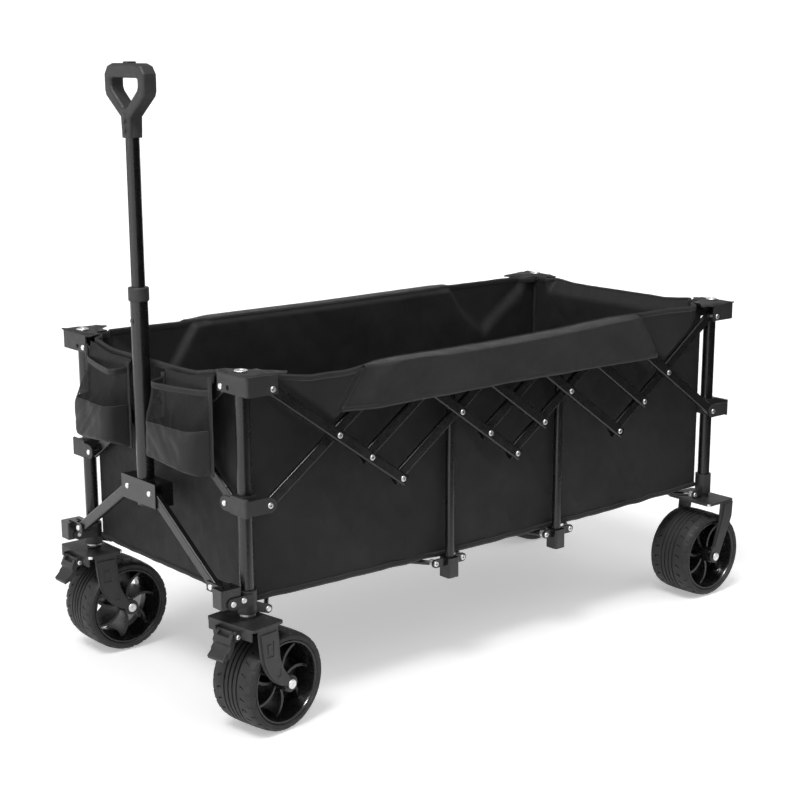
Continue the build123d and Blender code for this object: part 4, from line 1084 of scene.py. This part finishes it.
def pocket_net(side, name, material):
    """Open knit above the solid part: threads on the slant, both ways."""
    low = (NET_LOW - POCKET_BOTTOM - 4) / (POCKET_TOP - POCKET_BOTTOM)
    high = MOUTH_SHARE
    width = POCKET_OUTER - POCKET_INNER + 60.0
    height = (high - low) * (POCKET_TOP - POCKET_BOTTOM)
    columns = int(width / NET_CELL)
    rows = int(height / NET_CELL)
    vertices, faces, index = [], [], {}

    def vertex(i, j):
        """The index of a knot of the net, added when it is first asked for."""
        if (i, j) not in index:
            u = clamp(i / (2 * columns))
            v = low + (high - low) * clamp(j / (2 * rows))
            index[(i, j)] = len(vertices)
            vertices.append(pocket_point(u, v, side))
        return index[(i, j)]

    for j in range(2 * rows - 1):
        for i in range(j % 2, 2 * columns - 1, 2):
            faces.append((vertex(i + 1, j), vertex(i + 2, j + 1), vertex(i + 1, j + 2),
                          vertex(i, j + 1)))
    net = add_piece(name, vertices, faces, material)
    wire = net.modifiers.new("threads", "WIREFRAME")
    wire.thickness = NET_THREAD * MM
    wire.use_even_offset = False
    wire.use_boundary = True
    return apply_modifiers(net)


def pocket_back(side, name, material):
    """The pocket's back, flat against the end wall."""
    rows = []
    for level in np.linspace(0, 1, 30):
        row = []
        for y in np.linspace(POCKET_INNER - 2, POCKET_OUTER + 1, 26):
            top = end_rim_height(side * y, -1) - 4
            z = POCKET_BOTTOM + level * (top - POCKET_BOTTOM)
            lean = 10.0 * max(0.0, (z - 600) / 14)
            x = POCKET_BACK_X + min(8.0, lean) + 0.7 * ripple(y, z, 40, 111 + side)
            row.append((x, side * y, z))
        rows.append(row)
    return cloth_grid(name, rows, material, 1.0)


def pocket_edges(side, label, material):
    """Tape down the two upright edges of a pocket."""
    edges = []
    for y, edge in ((POCKET_INNER - 1, "inner"), (POCKET_OUTER + 1, "outer")):
        path = [(POCKET_BACK_X - 1.5 + 0.5 * ripple(z, 0, 25, 121 + y), side * y, z)
                for z in np.linspace(POCKET_BOTTOM - 2, end_rim_height(side * y, -1) - 9, 40)]
        edges.append(sweep(f"{label}_pocket_{edge}_edge", path, oval(2.0, 5.0, low=-5.0),
                           (0, side, 0), material))
    return edges


def make_pocket(side, label, finishes):
    """A front pocket: back, solid lower part, net, and tape on its edges."""
    cloth, tape = finishes["wall_cloth"], finishes["binding_tape"]
    back = pocket_back(side, f"{label}_pocket_back", cloth)
    rows = []
    top_v = (NET_LOW - POCKET_BOTTOM) / (POCKET_TOP - POCKET_BOTTOM)
    for v in np.linspace(0, 1, 34) ** 1.3 * top_v:
        rows.append([pocket_point(u, v, side) for u in np.linspace(0, 1, 48)])
    lower = cloth_grid(f"{label}_pocket_lower", rows, finishes["flap_cloth"], 1.1)
    net = pocket_net(side, f"{label}_pocket_net", finishes["pocket_net"])
    lip = [pocket_point(u, MOUTH_SHARE, side) for u in np.linspace(0, 1, 50)]
    mouth = sweep(f"{label}_pocket_mouth", lip, oval(1.3, 5.8, low=-5.5), UP, tape)
    line = [pocket_point(u, top_v, side) for u in np.linspace(0.01, 0.99, 50)]
    seam = sweep(f"{label}_pocket_seam", line, oval(1.0, 1.4, low=-1.4), UP, tape)
    goes = [net, mouth, seam, *pocket_edges(side, label, tape)]
    for piece in (back, lower, *goes):
        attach(piece, "front_frame")
    if side < 0:
        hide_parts("end_pockets")


# ---------------------------------------------------------------- the whole scene
finishes = make_finishes()
make_studio()
make_camera()
for node_name, cad_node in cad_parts.items():
    if any(m.name == "fabric" for m in cad_node.data.materials):
        continue
    finish_node(node_name, cad_node, finishes)
for side_sign, side_name in SIDES:
    make_tub_side(side_sign, side_name, finishes)
make_floor(finishes)
make_ends(finishes)
for end_sign, end_name in ENDS:
    for side_sign, side_name in SIDES:
        corner_patch(end_sign, side_sign, finishes, f"{end_name}_{side_name}")
for side_sign, side_name in SIDES:
    make_pocket(side_sign, side_name, finishes)
